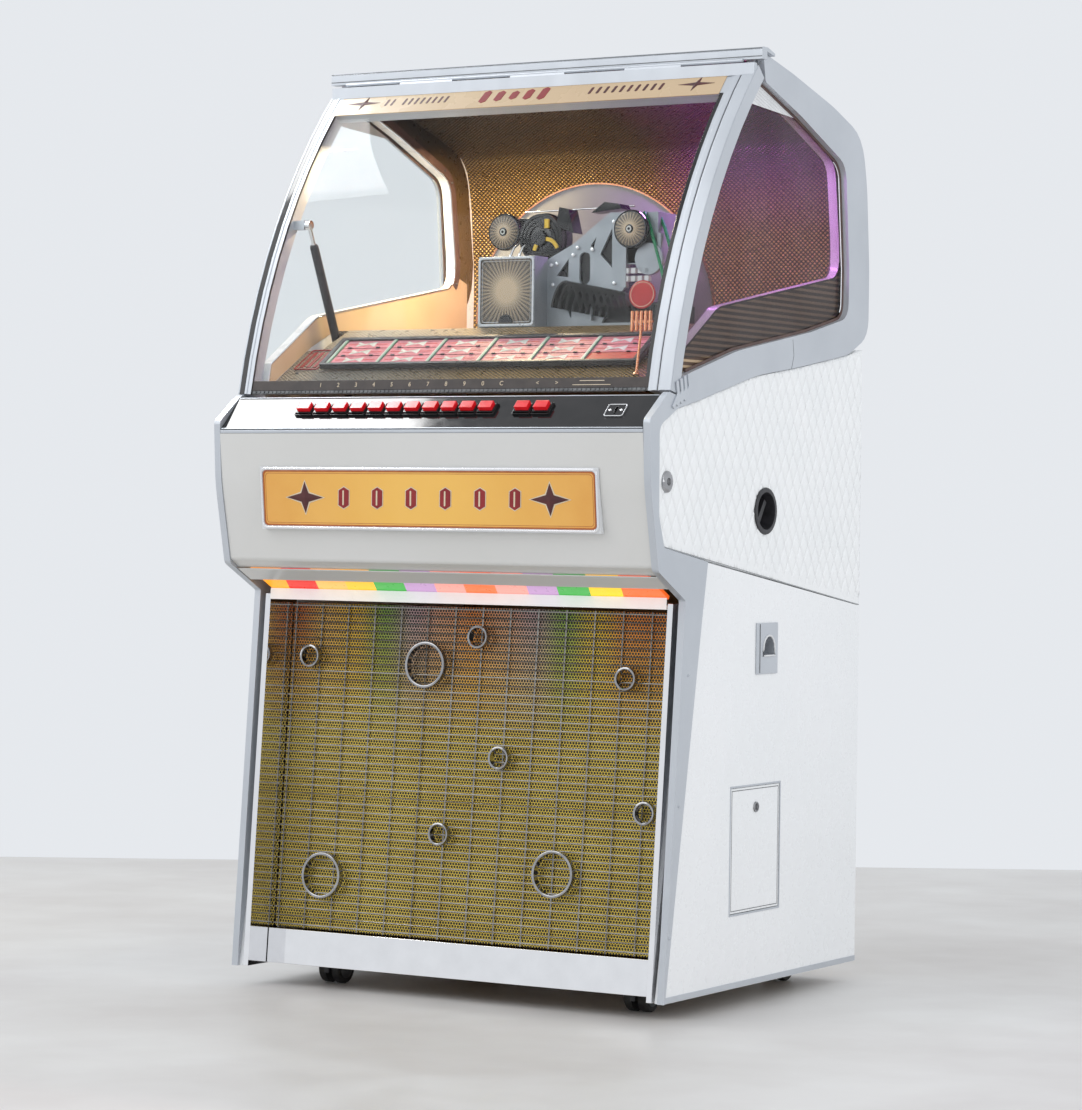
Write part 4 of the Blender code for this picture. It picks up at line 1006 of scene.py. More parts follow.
def add_key_panel():
    bm = bmesh.new()
    for k, x in enumerate(KEY_X):
        outer = rect(x - 0.0162, x + 0.0162, -0.0078, 0.0185, 0.002)
        inner = rect(x - 0.0150, x + 0.0150, -0.0066, 0.0176, 0.0015)
        add_band(bm, outer, inner, -0.0012, 0.0030, panel_place)
    piece("key_surrounds", bm, "gloss_black", bevel=0.0005)
    bm = bmesh.new()
    add_band(bm, rect(0.3140, 0.3480, -0.0135, 0.0135, 0.004), rect(0.3156, 0.3464, -0.0119, 0.0119, 0.003),
             -0.0009, 0.0028, panel_place)
    for x in (0.3212, 0.3408):
        add_screw(bm, panel_place(x, 0, 0.0020), panel_place(0, 0, 1) - PANEL_CENTRE, 0.0026)
    piece("coin_slot_edge", bm, "chrome", slot="chrome", bevel=0.0003)
    bm = bmesh.new()
    add_band(bm, rect(0.3158, 0.3462, -0.0117, 0.0117, 0.003), rect(0.3288, 0.3336, -0.0086, 0.0086, 0.0005),
             0.0010, 0.0024, panel_place)
    piece("coin_slot_face", bm, "gloss_black")
    bm = bmesh.new()
    add_prism(bm, rect(-0.3915, 0.3915, 0.0352, 0.0366), -0.0012, 0.0004, panel_place)
    add_prism(bm, rect(-0.3915, 0.3915, -0.0368, -0.0352), -0.0012, 0.0002, panel_place)
    piece("key_panel_edges", bm, "satin_silver", slot="satin_silver", bevel=0.0003)


# ---------------------------------------------------------------- lid

def lid_strip(bm, low, high, front, back, start=0, end=10):
    """A bar along the lid's curve between two x places."""
    one, two = lid_back(front)[start:end + 1], lid_back(back)[start:end + 1]
    rows = [[bm.verts.new((x, *p)) for p in line] for line in (one, two) for x in (low, high)]
    front_low, front_high, back_low, back_high = rows
    for k in range(len(one) - 1):
        for a, b in ((front_low, front_high), (front_high, back_high), (back_high, back_low),
                     (back_low, front_low)):
            bm.faces.new((a[k], a[k + 1], b[k + 1], b[k]))
    for k in (0, -1):
        bm.faces.new((front_low[k], front_high[k], back_high[k], back_low[k]))


def add_lid_strips():
    black, silver, dark = bmesh.new(), bmesh.new(), bmesh.new()
    lid_strip(black, -0.4015, -0.3925, -0.0006, 0.0012)
    lid_strip(black, LID_RIGHT_X - 0.0085, LID_RIGHT_X - 0.0002, 0.0022, 0.0095)
    lid_strip(silver, -0.4045, -0.4018, -0.0012, 0.0012)
    lid_strip(silver, -0.3922, -0.3872, -0.0012, 0.0012)
    lid_strip(silver, 0.3700, 0.3795, -0.0010, 0.0012)
    lid_strip(silver, 0.3835, 0.4040, -0.0014, 0.0012)
    lid_strip(dark, 0.3800, 0.3812, -0.0002, 0.0008)
    lid_strip(dark, LID_LEFT_X - 0.0012, LID_LEFT_X + 0.0004, 0.0002, 0.0045)
    piece("lid_seals", black, "gloss_black", body="lid", bevel=0.0004)
    piece("lid_beads", silver, "satin_silver", body="lid", slot="satin_silver", bevel=0.0007)
    piece("lid_grooves", dark, "seam_dark", body="lid")


def add_header():
    foot, head = lid_back(0.0)[-2:]
    place = face(foot, head)
    left, right = LID_LEFT_X + 0.0002, LID_RIGHT_X - 0.0088
    slab("header_face", "header_tan", rect(left, right, -0.0030, 0.0465), -0.0014, 0.0002, place, body="lid",
         bevel=0.0003)
    slab("header_edge", "satin_silver", rect(left, right, 0.0466, 0.0488), -0.0014, 0.0010, place, body="lid",
         slot="satin_silver", bevel=0.0005)
    slab("header_seal", "gloss_black", rect(left, right, 0.0489, 0.0548), -0.0014, -0.0004, place, body="lid")
    brown, red = bmesh.new(), bmesh.new()
    for x in (-0.331, 0.306):
        add_star(brown, x, 0.0235, 0.0335, 0.0165, 0.0052, 0.0001, 0.0016, place, 0.30)
    for k in range(11):
        if k != 2:
            add_prism(brown, lozenge(-0.284 + 0.0118 * k, 0.0225, 0.0021, 0.0080, 0.22), 0.0001, 0.0006,
                      place)
    for k in range(10):
        add_prism(brown, lozenge(0.112 + 0.0145 * k, 0.0225, 0.0025, 0.0082, 0.22), 0.0001, 0.0006, place)
    for k in range(5):
        add_prism(red, lozenge(-0.090 + 0.0280 * k, 0.0225, 0.0072, 0.0105 + 0.0022 * abs(k - 2), 0.2),
                  0.0001,
                  0.0008, place)
    piece("header_stars", brown, "maroon", body="lid", angle=10)
    piece("header_bars", red, "red_ink", body="lid")


def add_foot_rail():
    foot, above = lid_back(0.003)[:2]
    place = face(foot, above)
    left, right = LID_LEFT_X + 0.0002, LID_RIGHT_X - 0.0002
    slab("number_strip", "strip_brown", rect(left, right, 0.0058, 0.0222, 0.0), -0.0010, 0.0014, place,
         body="lid", bevel=0.0004)
    bm = bmesh.new()
    for k in range(92):
        x = left + 0.004 + 0.0081 * k
        add_prism(bm, rect(x, x + 0.0050, 0.0014, 0.0049), -0.0008, 0.0016, place)
    add_prism(bm, rect(left, right, 0.0004, 0.0056), -0.0010, 0.0004, place)
    piece("foot_rail_ribs", bm, "dark_metal", body="lid")
    bm = bmesh.new()
    for text, x in zip("1234567890C<>", KEY_X):
        add_text(bm, text, 0.0100, x, 0.0140, 0.0012, 0.0017, place)
    for x, b, half in ((0.262, 0.0172, 0.022), (0.262, 0.0106, 0.034)):
        add_prism(bm, rect(x - half, x + half, b - 0.0005, b + 0.0005), 0.0012, 0.0016, place)
    piece("number_strip_marks", bm, "cream_ink", body="lid")


def add_hinge():
    bm = bmesh.new()
    pitch, count = 0.02605, 29
    for k in range(count):
        x = -0.3777 + pitch * k
        add_lathe(bm, [(0.0026, 0), (0.00315, 0.0006), (0.00315, pitch - 0.0014), (0.0026, pitch - 0.0008)],
                  (x, *HINGE_LINE), (1, 0, 0), 16)
    piece("hinge_knuckles", bm, "satin_silver", slot="satin_silver")
    bm = bmesh.new()
    for b in (1.4748, 1.4875):
        add_block(bm, (-0.4120, 0.2693, b), (0.4120, 0.2701, b + 0.0012))
    piece("top_rail_lines", bm, "dark_metal")


# ---------------------------------------------------------------- title rack

def add_titles():
    place = face(RACK_FOOT, RACK_HEAD)
    bm = bmesh.new()
    add_band(bm, rect(-RACK_HALF, RACK_HALF, 0.0, RACK_TALL, 0.003),
             rect(-0.2905, 0.2905, 0.0060, 0.0790, 0.001),
             -0.0005, 0.0042, place)
    piece("title_frame", bm, "rack_grey", bevel=0.0012)
    columns, rows = 6, 3
    wide, tall = 0.581 / columns, 0.0730 / rows
    pink, red, white, green, tabs = (bmesh.new() for _ in range(5))
    for c in range(columns):
        left = -0.2905 + wide * c
        add_prism(white, rect(left + 0.0006, left + 0.0026, 0.0064, 0.0786), -0.0005, 0.0026, place)
        add_prism(green, rect(left + 0.0027, left + 0.0066, 0.0064, 0.0786), -0.0005, 0.0030, place)
        for r in range(rows):
            low = 0.0060 + tall * r
            last = c == columns - 1 and r == 0
            card = rect(left + 0.0078, left + wide - 0.0012, low + 0.0012, low + tall - 0.0012, 0.0006)
            add_prism(red if last else pink, card, -0.0005, 0.0010, place)
            if not last:
                add_prism(white, lozenge(left + wide / 2, low + tall / 2, 0.018, 0.0021), 0.0009, 0.0013,
                          place)
                for x in (left + 0.024, left + wide - 0.018):
                    add_prism(red, rect(x - 0.011, x + 0.011, low + tall / 2 - 0.0009,
                                        low + tall / 2 + 0.0009),
                              0.0009, 0.0013, place)
                for x in (left + 0.022, left + wide - 0.020):
                    add_prism(tabs, rect(x - 0.0035, x + 0.0035, low - 0.0008, low + 0.0014), 0.0, 0.0030,
                              place)
    piece("title_cards", pink, "card_pink", slot="card_pink", bevel=0.0002)
    piece("title_red_marks", red, "card_red")
    piece("title_white_marks", white, "card_white")
    piece("title_dividers", green, "card_green", bevel=0.0003)
    piece("title_clips", tabs, "rack_grey", bevel=0.0003)


# ---------------------------------------------------------------- windows, hood and deck

def add_windows():
    for side, word in ((-1, "left"), (1, "right")):
        path, clear = window_path(), clear_path()
        rear = [p for p in clear if p.y > 1.150]
        lower = [p for p in clear if p.y <= 1.150]
        inner = span(side, 0.3700, 0.3724)
        strip(f"{word}_window_frame", "brown_gasket", rear, 0.0030, 0.0170, *inner, bevel=0.0008)
        strip(f"{word}_window_bead", "chrome" if side < 0 else "brown_gasket", clear, 0.0, 0.0012,
              *span(side, 0.3730, 0.3698), bevel=0.0003)
        bm = bmesh.new()
        for k in (2, 5, len(rear) - 2):
            spot = offset(rear, 0.010)[k]
            add_screw(bm, (side * 0.3700, *spot), (-side, 0, 0), 0.0022)
        piece(f"{word}_frame_screws", bm, "dark_metal")
        strip(f"{word}_hood_cheek", "bronze_hood", rear, 0.0165, 0.0620, *span(side, 0.3726, 0.3718))
        bm = bmesh.new()
        deck = [(0.0400, 0.9492), (0.160, 1.0203), (0.2300, 1.0516), (0.6450, 1.0516), (0.6450, 1.155),
                (0.6150, 1.165)]
        edge = offset(lower, 0.0026)
        add_prism(bm, edge + deck, *span(side, 0.3726, 0.3712), across)
        piece(f"{word}_inner_skirt", bm, "tan")
        strip(f"{word}_window_gasket", "brown_gasket", path, -0.0045, 0.0012, *span(side, 0.3926, 0.3950),
              bevel=0.0006)
        bm = bmesh.new()
        rim = [p for p in path if 1.08 < p.y < 1.385]
        ribbon(bm, rim, -0.0078, -0.0048, *span(side, 0.3926, 0.3944))
        piece(f"{word}_window_strip", bm, "chrome", slot="chrome", bevel=0.0008)
        bm = bmesh.new()
        skirt = [p for p in path if p.y < 1.165] + [p for p in clear if p.y < 1.185][::-1]
        add_prism(bm, skirt, *span(side, 0.38835, 0.38855), across)
        piece(f"{word}_outer_skirt", bm, "ribbed_tan")
        strip(f"{word}_skirt_edge", "strip_brown", [p for p in clear if p.y < 1.185], 0.0002, 0.0030,
              *span(side, 0.38855, 0.38865))
        bm = bmesh.new()
        corner = [(0.2960, 1.4340), (0.4220, 1.3930), (0.2700, 1.4010)]
        add_prism(bm, corner, *span(side, 0.3926, 0.3934), across)
        for k in range(6):
            t = 0.12 + 0.13 * k
            a = Vector(corner[0]).lerp(Vector(corner[2]), t)
            b = a + (Vector(corner[1]) - Vector(corner[0])) * (1 - t) * 0.96
            ribbon(bm, [a, b], 0.0, 0.0008, *span(side, 0.3932, 0.3940))
        piece(f"{word}_corner_plate", bm, "pale_plastic")


def add_hood():
    path = rounded([(0.300, 1.4795, 0), (0.393, 1.4565, 0), (0.539, 1.4190, 0), (0.6475, 1.381, 0.072),
                    (0.6675, 1.300, 0), (0.6795, 1.165, 0), (0.6790, 1.0395, 0)])
    strip("hood_skin", "white_gloss", path, -0.0002, 0.0012, -INSIDE_X, INSIDE_X, slot="white_gloss",
          bevel=0.0003)
    bm = bmesh.new()
    arch = [Vector((ARCH_CENTRE[0] + ARCH_RADIUS * math.cos(a), ARCH_CENTRE[1] + ARCH_RADIUS * math.sin(a)))
            for a in (math.pi * k / 48 for k in range(49))]
    ribbon(bm, arch, -0.0016, 0.0010, ARCH_Y - 0.0016, ARCH_Y + 0.0030, deep)
    piece("backdrop_rim", bm, "copper")


def add_deck_fittings():
    place = face((0.030, 0.942), (0.160, 1.0195))
    bm = bmesh.new()
    add_band(bm, rect(-0.3600, -0.3120, 0.072, 0.140, 0.003), rect(-0.3578, -0.3142, 0.0742, 0.1378, 0.002),
             0.0,
             0.0016, place)
    for k in range(3):
        add_prism(bm, rect(-0.3520 + 0.013 * k, -0.3450 + 0.013 * k, 0.080, 0.132), 0.0, 0.0010, place)
    piece("deck_label", bm, "red_ink")
    bm = bmesh.new()
    for x, b in ((-0.345, 0.060), (-0.318, 0.146), (-0.36, 0.02), (0.345, 0.10), (0.355, 0.03)):
        add_screw(bm, place(x, b, 0.0), place(0, 0, 1) - place(0, 0, 0), 0.0030)
    piece("deck_screws", bm, "dark_metal")
    bm = bmesh.new()
    foot, top = Vector((0.3060, 0.0655, 0.9640)), Vector((0.2980, 0.0940, 1.0350))
    add_lathe(bm, [(0.0055, 0), (0.0050, 0.002), (0.0022, 0.004), (0.0020, 0.006)], foot, (0, 0, 1), 20)
    add_tube(bm, [foot, foot.lerp(top, 0.5), top], 0.0021, 12)
    for k in range(5):
        x = 0.2820 + 0.0080 * k
        add_tube(bm, [(x, 0.0935, 1.0330), (x - 0.0012, 0.0965, 1.0500), (x - 0.0022, 0.0985, 1.0640)],
                 0.0030, 10)
    add_block(bm, (0.2790, 0.0945, 1.0455), (0.3170, 0.0985, 1.0490))
    piece("stalk", bm, "copper", angle=50)
    bm = bmesh.new()
    add_lathe(bm, [(0.0224, 0), (0.0224, 0.0012), (0.0216, 0.0018), (0, 0.0020)], (0.2960, 0.1005, 1.0900),
              (0.10, -1, 0.12), 48)
    piece("stalk_disc", bm, "disc_red")
    bm = bmesh.new()
    add_lathe(bm, [(0.0198, 0.0018), (0.0198, 0.0024), (0.0190, 0.0024), (0.0190, 0.0018)],
              (0.2960, 0.1005, 1.0900), (0.10, -1, 0.12), 48, closed=True)
    piece("stalk_disc_ring", bm, "cream_ink")


# ---------------------------------------------------------------- player

def add_player():
    front = 0.2450
    bm = bmesh.new()
    # A gloss-black plate behind the player: the black parts there, and painted shade for the dark behind
    # them.
    cheek = [(-0.0880, 0.002), (0.1090, 0.002), (0.1270, 0.032), (0.1540, 0.064), (0.1540, 0.178),
             (0.1310, 0.180), (0.0640, 0.131), (0.0120, 0.106), (-0.0880, 0.106)]
    add_prism(bm, [(x, FLOOR_Z + z) for x, z in cheek], 0.2912, 0.2940, deep)
    piece("player_black_parts_and_shade_plate", bm, "gloss_black")
    bm = bmesh.new()
    outer = rect(-0.0955, 0.0115, FLOOR_Z + 0.0010, FLOOR_Z + 0.1155, 0.007)
    inner = rect(-0.0915, 0.0075, FLOOR_Z + 0.0050, FLOOR_Z + 0.1115, 0.005)
    add_band(bm, outer, inner, front - 0.0026, front + 0.0010, deep)
    outer = rect(-0.0888, 0.0048, FLOOR_Z + 0.0077, FLOOR_Z + 0.1088, 0.005)
    inner = rect(-0.0880, 0.0040, FLOOR_Z + 0.0085, FLOOR_Z + 0.1080, 0.004)
    add_band(bm, outer, inner, front - 0.0016, front + 0.0002, deep)
    piece("cover_frame", bm, "cast_bright", slot="grey_metal", bevel=0.0005)
    slab("cover_face", "cover_rays", rect(-0.0914, 0.0074, FLOOR_Z + 0.0051, FLOOR_Z + 0.1114, 0.005),
         front - 0.0012, front, deep)
    bm = bmesh.new()
    half = [(-0.042 + 0.0135 * math.cos(a), FLOOR_Z + 0.0070 + 0.0135 * math.sin(a))
            for a in (math.pi * k / 20 for k in range(21))]
    add_prism(bm, half, front - 0.0026, front - 0.0010, deep)
    piece("cover_half_disc", bm, "black_plastic", slot="black_plastic")
    for word, centre, radius in (("left", LEFT_ROLLER, 0.0275), ("right", RIGHT_ROLLER, 0.0275)):
        bm = bmesh.new()
        add_lathe(bm, [(radius, 0.0070), (radius, 0.0092), (radius * 0.93, 0.0104), (0.0075, 0.0112),
                       (0.0075, 0.0085)],
                  centre, (0, -1, 0), 48, closed=True)
        piece(f"{word}_roller_face", bm, f"{word}_rays", body=f"{word}_roller")
        bm = bmesh.new()
        add_lathe(bm, [(0.0302, -0.0030), (0.0314, 0.0), (0.0314, 0.0050), (0.0302, 0.0082), (0.0284, 0.0082),
                       (0.0284, -0.0030)], centre, (0, -1, 0), 48, closed=True)
        add_lathe(bm, [(0.0064, 0.0100), (0.0064, 0.0128), (0.0050, 0.0134), (0.0050, 0.0100)], centre,
                  (0, -1, 0),
                  32, closed=True)
        add_lathe(bm, [(0.0022, 0.0100), (0.0022, 0.0136), (0, 0.0138)], centre, (0, -1, 0), 20)
        piece(f"{word}_roller_rim", bm, "gloss_black", body=f"{word}_roller")
        bm = bmesh.new()
        add_lathe(bm, [(0.0049, 0.0098), (0.0049, 0.0130), (0.0023, 0.0130), (0.0023, 0.0098)], centre,
                  (0, -1, 0),
                  32, closed=True)
        piece(f"{word}_roller_hub", bm, "card_white", body=f"{word}_roller")
    bm = bmesh.new()
    for radius, high in ((0.0410, 0.0062), (0.0340, 0.0066), (0.0270, 0.0070)):
        add_lathe(bm, [(radius, 0.0030), (radius, high), (radius - 0.0050, high + 0.0006),
                       (radius - 0.0050, 0.0030)],
                  PLATTER, (0, -1, 0), 56, closed=True)
    add_lathe(bm, [(0.0412, -0.028), (0.0430, -0.026), (0.0430, -0.008), (0.0412, -0.006)], PLATTER,
              (0, -1, 0), 56)
    piece("platter_drum", bm, "gloss_black", body="platter")
    bm = bmesh.new()
    arc = [Vector((PLATTER.x + 0.012 + 0.0225 * math.cos(a), PLATTER.z - 0.024 + 0.0225 * math.sin(a)))
           for a in (math.radians(18 + 8 * k) for k in range(20))]
    ribbon(bm, arc, -0.0032, 0.0032, PLATTER.y - 0.0100, PLATTER.y - 0.0072, deep)
    add_prism(bm, rect(-0.0110, -0.0010, 1.2190, 1.2340, 0.001), PLATTER.y - 0.0130, PLATTER.y - 0.0085, deep)
    piece("platter_arc", bm, "yellow", body="platter", bevel=0.0004)
    bm = bmesh.new()
    wedge = [(0.0180, 1.2200), (0.0520, 1.2080), (0.0420, 1.2480), (0.0240, 1.2520)]
    add_prism(bm, wedge, 0.300, 0.330, deep)
    add_prism(bm, [(0.0930, 1.2390), (0.1500, 1.2440), (0.1460, 1.2520), (0.1180, 1.2560), (0.1060, 1.2480)],
              0.286,
              0.318, deep)
    add_prism(bm, [(-0.0880, 1.2190), (-0.0620, 1.2190), (-0.0620, 1.2400), (-0.1150, 1.2400),
                   (-0.1120, 1.2330)], 0.352,
              0.372, deep)
    for k in range(9):
        x = 0.060 + 0.0125 * k
        fan = [Vector((x + 0.058 * math.sin(a) * 0.45, FLOOR_Z + 0.010 + 0.062 * math.cos(a) - 0.0024 * k))
               for a in (math.radians(-70 + 14 * j) for j in range(11))]
        ribbon(bm, fan, 0.0, 0.0034, 0.262 + 0.0012 * k, 0.283, deep)
    add_block(bm, (0.0520, 0.292, FLOOR_Z + 0.001), (0.2150, 0.420, FLOOR_Z + 0.038))
    piece("disc_carriers", bm, "gloss_black", bevel=0.0004)
    bm = bmesh.new()
    bolts = ((0.0200, 0.1020), (0.0240, 0.0700), (0.0620, 0.0560), (0.0620, 0.1180), (0.0980, 0.1260),
             (0.1050, 0.0400),
             (0.1400, 0.0700), (0.1380, 0.1700), (0.0700, 0.1300), (0.0310, 0.1040))
    for x, z in bolts:
        add_lathe(bm, [(0.0034, 0), (0.0034, 0.0030), (0.0028, 0.0036), (0.0016, 0.0036), (0.0016, 0.0050),
                       (0, 0.0054)],
                  (x, 0.2850, FLOOR_Z + z), (0, -1, 0), 12)
    for x in (-0.0730, -0.0560):
        add_tube(bm, [(x, 0.300, FLOOR_Z + 0.112), (x + 0.004, 0.310, FLOOR_Z + 0.135),
                      (x + 0.010, 0.330, FLOOR_Z + 0.150)],
                 0.0022, 12)
    add_tube(bm, [(-0.060, 0.330, 1.2480), (0.150, 0.330, 1.2520)], 0.0014, 8)
    piece("player_bolts", bm, "chrome", slot="chrome", angle=50)
    bm = bmesh.new()
    for x0, x1, z0, z1, y in ((0.1560, 0.2250, 0.100, 0.150, 0.284), (0.1640, 0.1720, 0.150, 0.186, 0.278),
                              (0.1560, 0.1640, 0.062, 0.186, 0.279), (0.0975, 0.1020, 0.010, 0.034, 0.276)):
        add_prism(bm, rect(x0, x1, FLOOR_Z + z0, FLOOR_Z + z1, 0.002), y, y + 0.010, deep)
    add_lathe(bm, [(0.0260, 0), (0.0260, 0.008)], (0.2050, 0.288, FLOOR_Z + 0.108), (0, -1, 0), 40)
    piece("player_brackets", bm, "grey_metal", slot="grey_metal", bevel=0.0008)
    bm = bmesh.new()
    for k in range(4):
        for j in range(2):
            add_block(bm, (0.1600 + 0.0125 * k, 0.2800, FLOOR_Z + 0.072 + 0.013 * j),
                      (0.1680 + 0.0125 * k, 0.2900 - 0.002 * j, FLOOR_Z + 0.081 + 0.013 * j))
    piece("player_relays", bm, "pale_plastic", bevel=0.0006)
    bm = bmesh.new()
    for dx, dy in ((0.0, 0.0), (0.018, 0.016)):
        belt = [(0.1960 + dx, 1.2370), (0.2080 + dx, 1.2100), (0.2280 + dx, 1.1480),
                (0.2400 + dx * 0.4, 1.1000)]
        ribbon(bm, belt, -0.0022, 0.0022, 0.2780 + dy, 0.2830 + dy, deep)
    piece("drive_belts", bm, "belt_green", bevel=0.0006)


# ---------------------------------------------------------------- side trims and fittings

def add_trim_details():
    for side, word in ((-1, "left"), (1, "right")):
        bm = bmesh.new()
        for k in range(4):
            y, z = 0.0165 + 0.0118 * k, 0.9335 + 0.0043 * k
            elbow = [(y - 0.0130, z - 0.0240), (y + 0.0035, z - 0.0030), (y - 0.0010, z + 0.0170)]
            ribbon(bm, elbow, -0.0036, 0.0036, *span(side, 0.4046, 0.4076))
        piece(f"{word}_trim_steps", bm, "satin_silver", slot="satin_silver", bevel=0.0008)
        bm = bmesh.new()
        seam = [(0.4005, 0.9860), (0.4085, 1.0070), (0.4040, 1.0330)]
        ribbon(bm, seam, -0.0005, 0.0005, *span(side, 0.4048, 0.40515))
        piece(f"{word}_trim_seam", bm, "dark_metal")
        bm = bmesh.new()
        for y, z in ((0.060, 0.30), (0.085, 0.50), (0.035, 0.10)):
            add_screw(bm, (side * 0.4050, y - 0.02, z), (side, 0, 0), 0.0022)
        piece(f"{word}_trim_screws", bm, "satin_silver")


def add_fittings():
    bm = bmesh.new()
    cup = [Vector((0.3155, 0.5235)), Vector((0.3545, 0.5235))]
    for k in range(9):
        a = math.pi * k / 8
        cup.append(Vector((0.3350 + 0.0195 * math.cos(a), 0.5345 + 0.0215 * math.sin(a))))
    add_tube(bm, [(0.4048, *p) for p in cup], 0.0017, 8, closed=True)
    piece("coin_cup_rim", bm, "pale_plastic", angle=60)
    bm = bmesh.new()
    inside = [Vector((p.x + (0.335 - p.x) * 0.06, p.y + (0.540 - p.y) * 0.06)) for p in cup]
    add_prism(bm, inside, 0.3716, 0.3730, across)
    piece("coin_cup_back", bm, "black_plastic", slot="black_plastic")
    bm = bmesh.new()
    add_block(bm, (0.4042, 0.3035, 0.4965), (0.4050, 0.3047, 0.5745))
    piece("coin_return_details", bm, "dark_metal")
    for name, y, z, reach, body in (("cash_keyhole", 0.3020, 0.2830, 0.4037, "cash_lock"),
                                    ("lid_keyhole", -0.0055, 0.7970, 0.4061, "lid_lock")):
        bm = bmesh.new()
        add_lathe(bm, [(0.0058, 0), (0.0058, 0.0004), (0.0052, 0.0006), (0.0040, 0.0001)],
                  (reach - 0.0003, y, z), (1, 0, 0), 24)
        add_block(bm, (reach - 0.0002, y - 0.0006, z - 0.0036), (reach + 0.0006, y + 0.0006, z + 0.0036))
        piece(name, bm, "seam_dark", body=body)
    bm = bmesh.new()
    outer = [Vector(p) for p in ((0.2160, 0.1176), (0.3838, 0.1176), (0.3838, 0.3169), (0.2160, 0.3169))]
    inner = [Vector(p) for p in ((0.2202, 0.1218), (0.3796, 0.1218), (0.3796, 0.3127), (0.2202, 0.3127))]
    add_band(bm, [p + (p - Vector((0.2999, 0.21725))).normalized() * 0.004 for p in outer], outer, 0.4018,
             0.4028, across)
    piece("cash_door_rim", bm, "satin_silver", slot="satin_silver", bevel=0.0003)
    bm = bmesh.new()
    add_band(bm, inner, [p + (Vector((0.2999, 0.21725)) - p).normalized() * 0.0014 for p in inner], 0.4010,
             0.4018, across)
    piece("cash_door_line", bm, "dark_metal", body="cash_door")
    for name, x, y in (("front_left", -0.290, 0.137), ("front_right", 0.290, 0.137),
                       ("rear_left", -0.290, 0.602),
                       ("rear_right", 0.290, 0.602)):
        bm = bmesh.new()
        for side in (-1, 1):
            add_lathe(bm, [(0.0165, 0), (0.0165, 0.0006), (0.0120, 0.0016), (0.0060, 0.0010),
                           (0.0050, 0.0018), (0, 0.0020)],
                      (x + side * 0.0200, y, -0.0090), (side, 0, 0), 32)
        piece(f"{name}_castor_caps", bm, "dark_metal", body=f"{name}_wheel")


def add_back():
    bm = bmesh.new()
    for group in (0.180, 0.760):
        for k in range(12):
            z = group + 0.014 * k
            add_prism(bm, rect(-0.150, 0.150, z, z + 0.006, 0.0025), 0.6676, 0.6690, deep)
    piece("back_vents", bm, "seam_dark")
    bm = bmesh.new()
    for x in (-0.345, -0.12, 0.12, 0.345):
        for z in (0.030, 0.520, 1.010):
            add_screw(bm, (x, 0.6680, z), (0, 1, 0), 0.0042)
    piece("back_screws", bm, "dark_metal")
    bm = bmesh.new()
    add_band(bm, rect(-0.170, 0.170, 0.165, 0.350, 0.006), rect(-0.160, 0.160, 0.175, 0.340, 0.004), 0.6678,
             0.6700, deep)
    add_band(bm, rect(-0.170, 0.170, 0.745, 0.930, 0.006), rect(-0.160, 0.160, 0.755, 0.920, 0.004), 0.6678,
             0.6700, deep)
    piece("back_vent_frames", bm, "dark_metal", bevel=0.0006)


def add_lintel():
    place = face((0.0522, 0.6005), (0.0560, 0.6440))
    slab("lintel_strip", "lintel_white", rect(-0.3725, 0.3725, 0.0004, 0.0186), 0.0002, 0.0012, place,
         bevel=0.0003)


# ---------------------------------------------------------------- stage

CAMERA_PLACE, CAMERA_LENS, SENSOR_WIDTH = (2.99492, -4.99704, 0.77475), 114.206, 36.0
CAMERA_PAN, CAMERA_TILT, CAMERA_ROLL = 31.0011, -0.6151, -0.7101
STUDIO_SKY = (0.79, 0.815, 0.85, 1)
LAMP_Y, LAMP_Z = 0.42, 1.40


def add_camera():
    lens = bpy.data.cameras.new("camera")
    lens.lens = CAMERA_LENS
    lens.sensor_width = SENSOR_WIDTH
    camera = bpy.data.objects.new("camera", lens)
    turn = (Matrix.Rotation(math.radians(CAMERA_PAN), 4, "Z") @ Matrix.Rotation(math.radians(CAMERA_TILT), 4,
                                                                                "X")
            @ Matrix.Rotation(math.radians(CAMERA_ROLL), 4, "Y") @ Matrix.Rotation(math.radians(90), 4, "X"))
    camera.matrix_world = Matrix.Translation(CAMERA_PLACE) @ turn
    bpy.context.scene.collection.objects.link(camera)
    bpy.context.scene.camera = camera


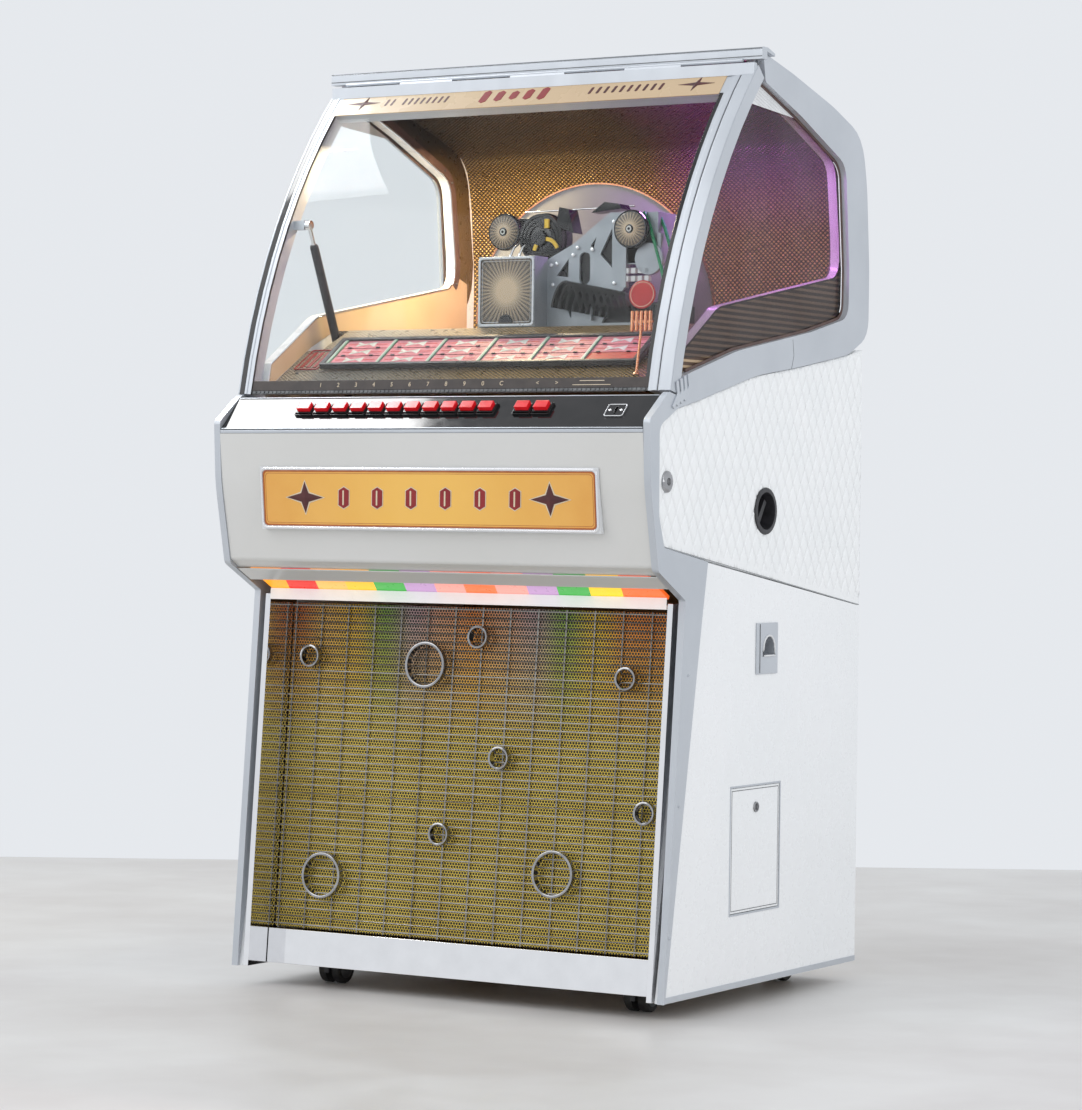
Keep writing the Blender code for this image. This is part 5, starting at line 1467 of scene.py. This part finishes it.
def add_lamp(name, place, aim, size, power, colour=(1, 1, 1), mirror_only=False):
    lamp = bpy.data.lights.new(name, "AREA")
    lamp.shape = "RECTANGLE"
    lamp.size, lamp.size_y = size
    lamp.energy = power
    lamp.color = colour
    made = bpy.data.objects.new(name, lamp)
    made.location = place
    made.rotation_euler = (Vector(aim) - Vector(place)).to_track_quat("-Z", "Y").to_euler()
    made.visible_diffuse = not mirror_only
    bpy.context.scene.collection.objects.link(made)
    return made


def add_stage():
    scene = bpy.context.scene
    scene.view_settings.view_transform = "Standard"
    world = bpy.data.worlds.new("studio")
    scene.world = world
    world.use_nodes = True
    world.node_tree.nodes["Background"].inputs["Color"].default_value = STUDIO_SKY
    world.node_tree.nodes["Background"].inputs["Strength"].default_value = 1.0
    bm = bmesh.new()
    bmesh.ops.create_grid(bm, x_segments=8, y_segments=8, size=3.0)
    mesh = bpy.data.meshes.new("floor")
    bm.to_mesh(mesh)
    bm.free()
    floor = bpy.data.objects.new("floor", mesh)
    scene.collection.objects.link(floor)
    finish = plain("pale_floor", (0.66, 0.64, 0.62), (0.74, 0.73, 0.71), 0.45, 0.4)
    mesh.materials.append(finish.material)
    floor.rotation_euler = (0, 0, math.radians(31))
    floor.location = (0.35, -0.9, 0)
    add_lamp("key", (-2.6, -3.0, 3.2), (0, 0, 0.8), (3.4, 3.4), 48)
    add_lamp("side", (3.6, -0.6, 2.0), (0, 0, 0.8), (2.6, 2.6), 26)
    add_lamp("panel_softbox", (-1.45, -0.25, 2.6), (-0.18, -0.35, 0.94), (0.95, 0.6), 26, mirror_only=True)
    x, y, z = TO_WORLD @ Vector((0.0, LAMP_Y, LAMP_Z))
    add_lamp("hood_warm", (x - 0.22, y, z - 0.02), (x - 0.22, y + 0.03, z - 0.4), (0.16, 0.05), 5.0,
             (1, 0.78, 0.48))
    add_lamp("hood_violet", (x + 0.24, y, z - 0.02), (x + 0.24, y + 0.05, z - 0.4), (0.14, 0.05), 2.6,
             (0.72, 0.25, 1))


add_camera()
finish_nodes()
add_grille()
add_quilting("left", -1)
add_quilting("right", 1)
add_sign()
add_belly_trim()
add_key_panel()
add_lid_strips()
add_header()
add_foot_rail()
add_hinge()
add_titles()
add_windows()
add_hood()
add_deck_fittings()
add_player()
add_trim_details()
add_fittings()
add_back()
add_lintel()
add_stage()
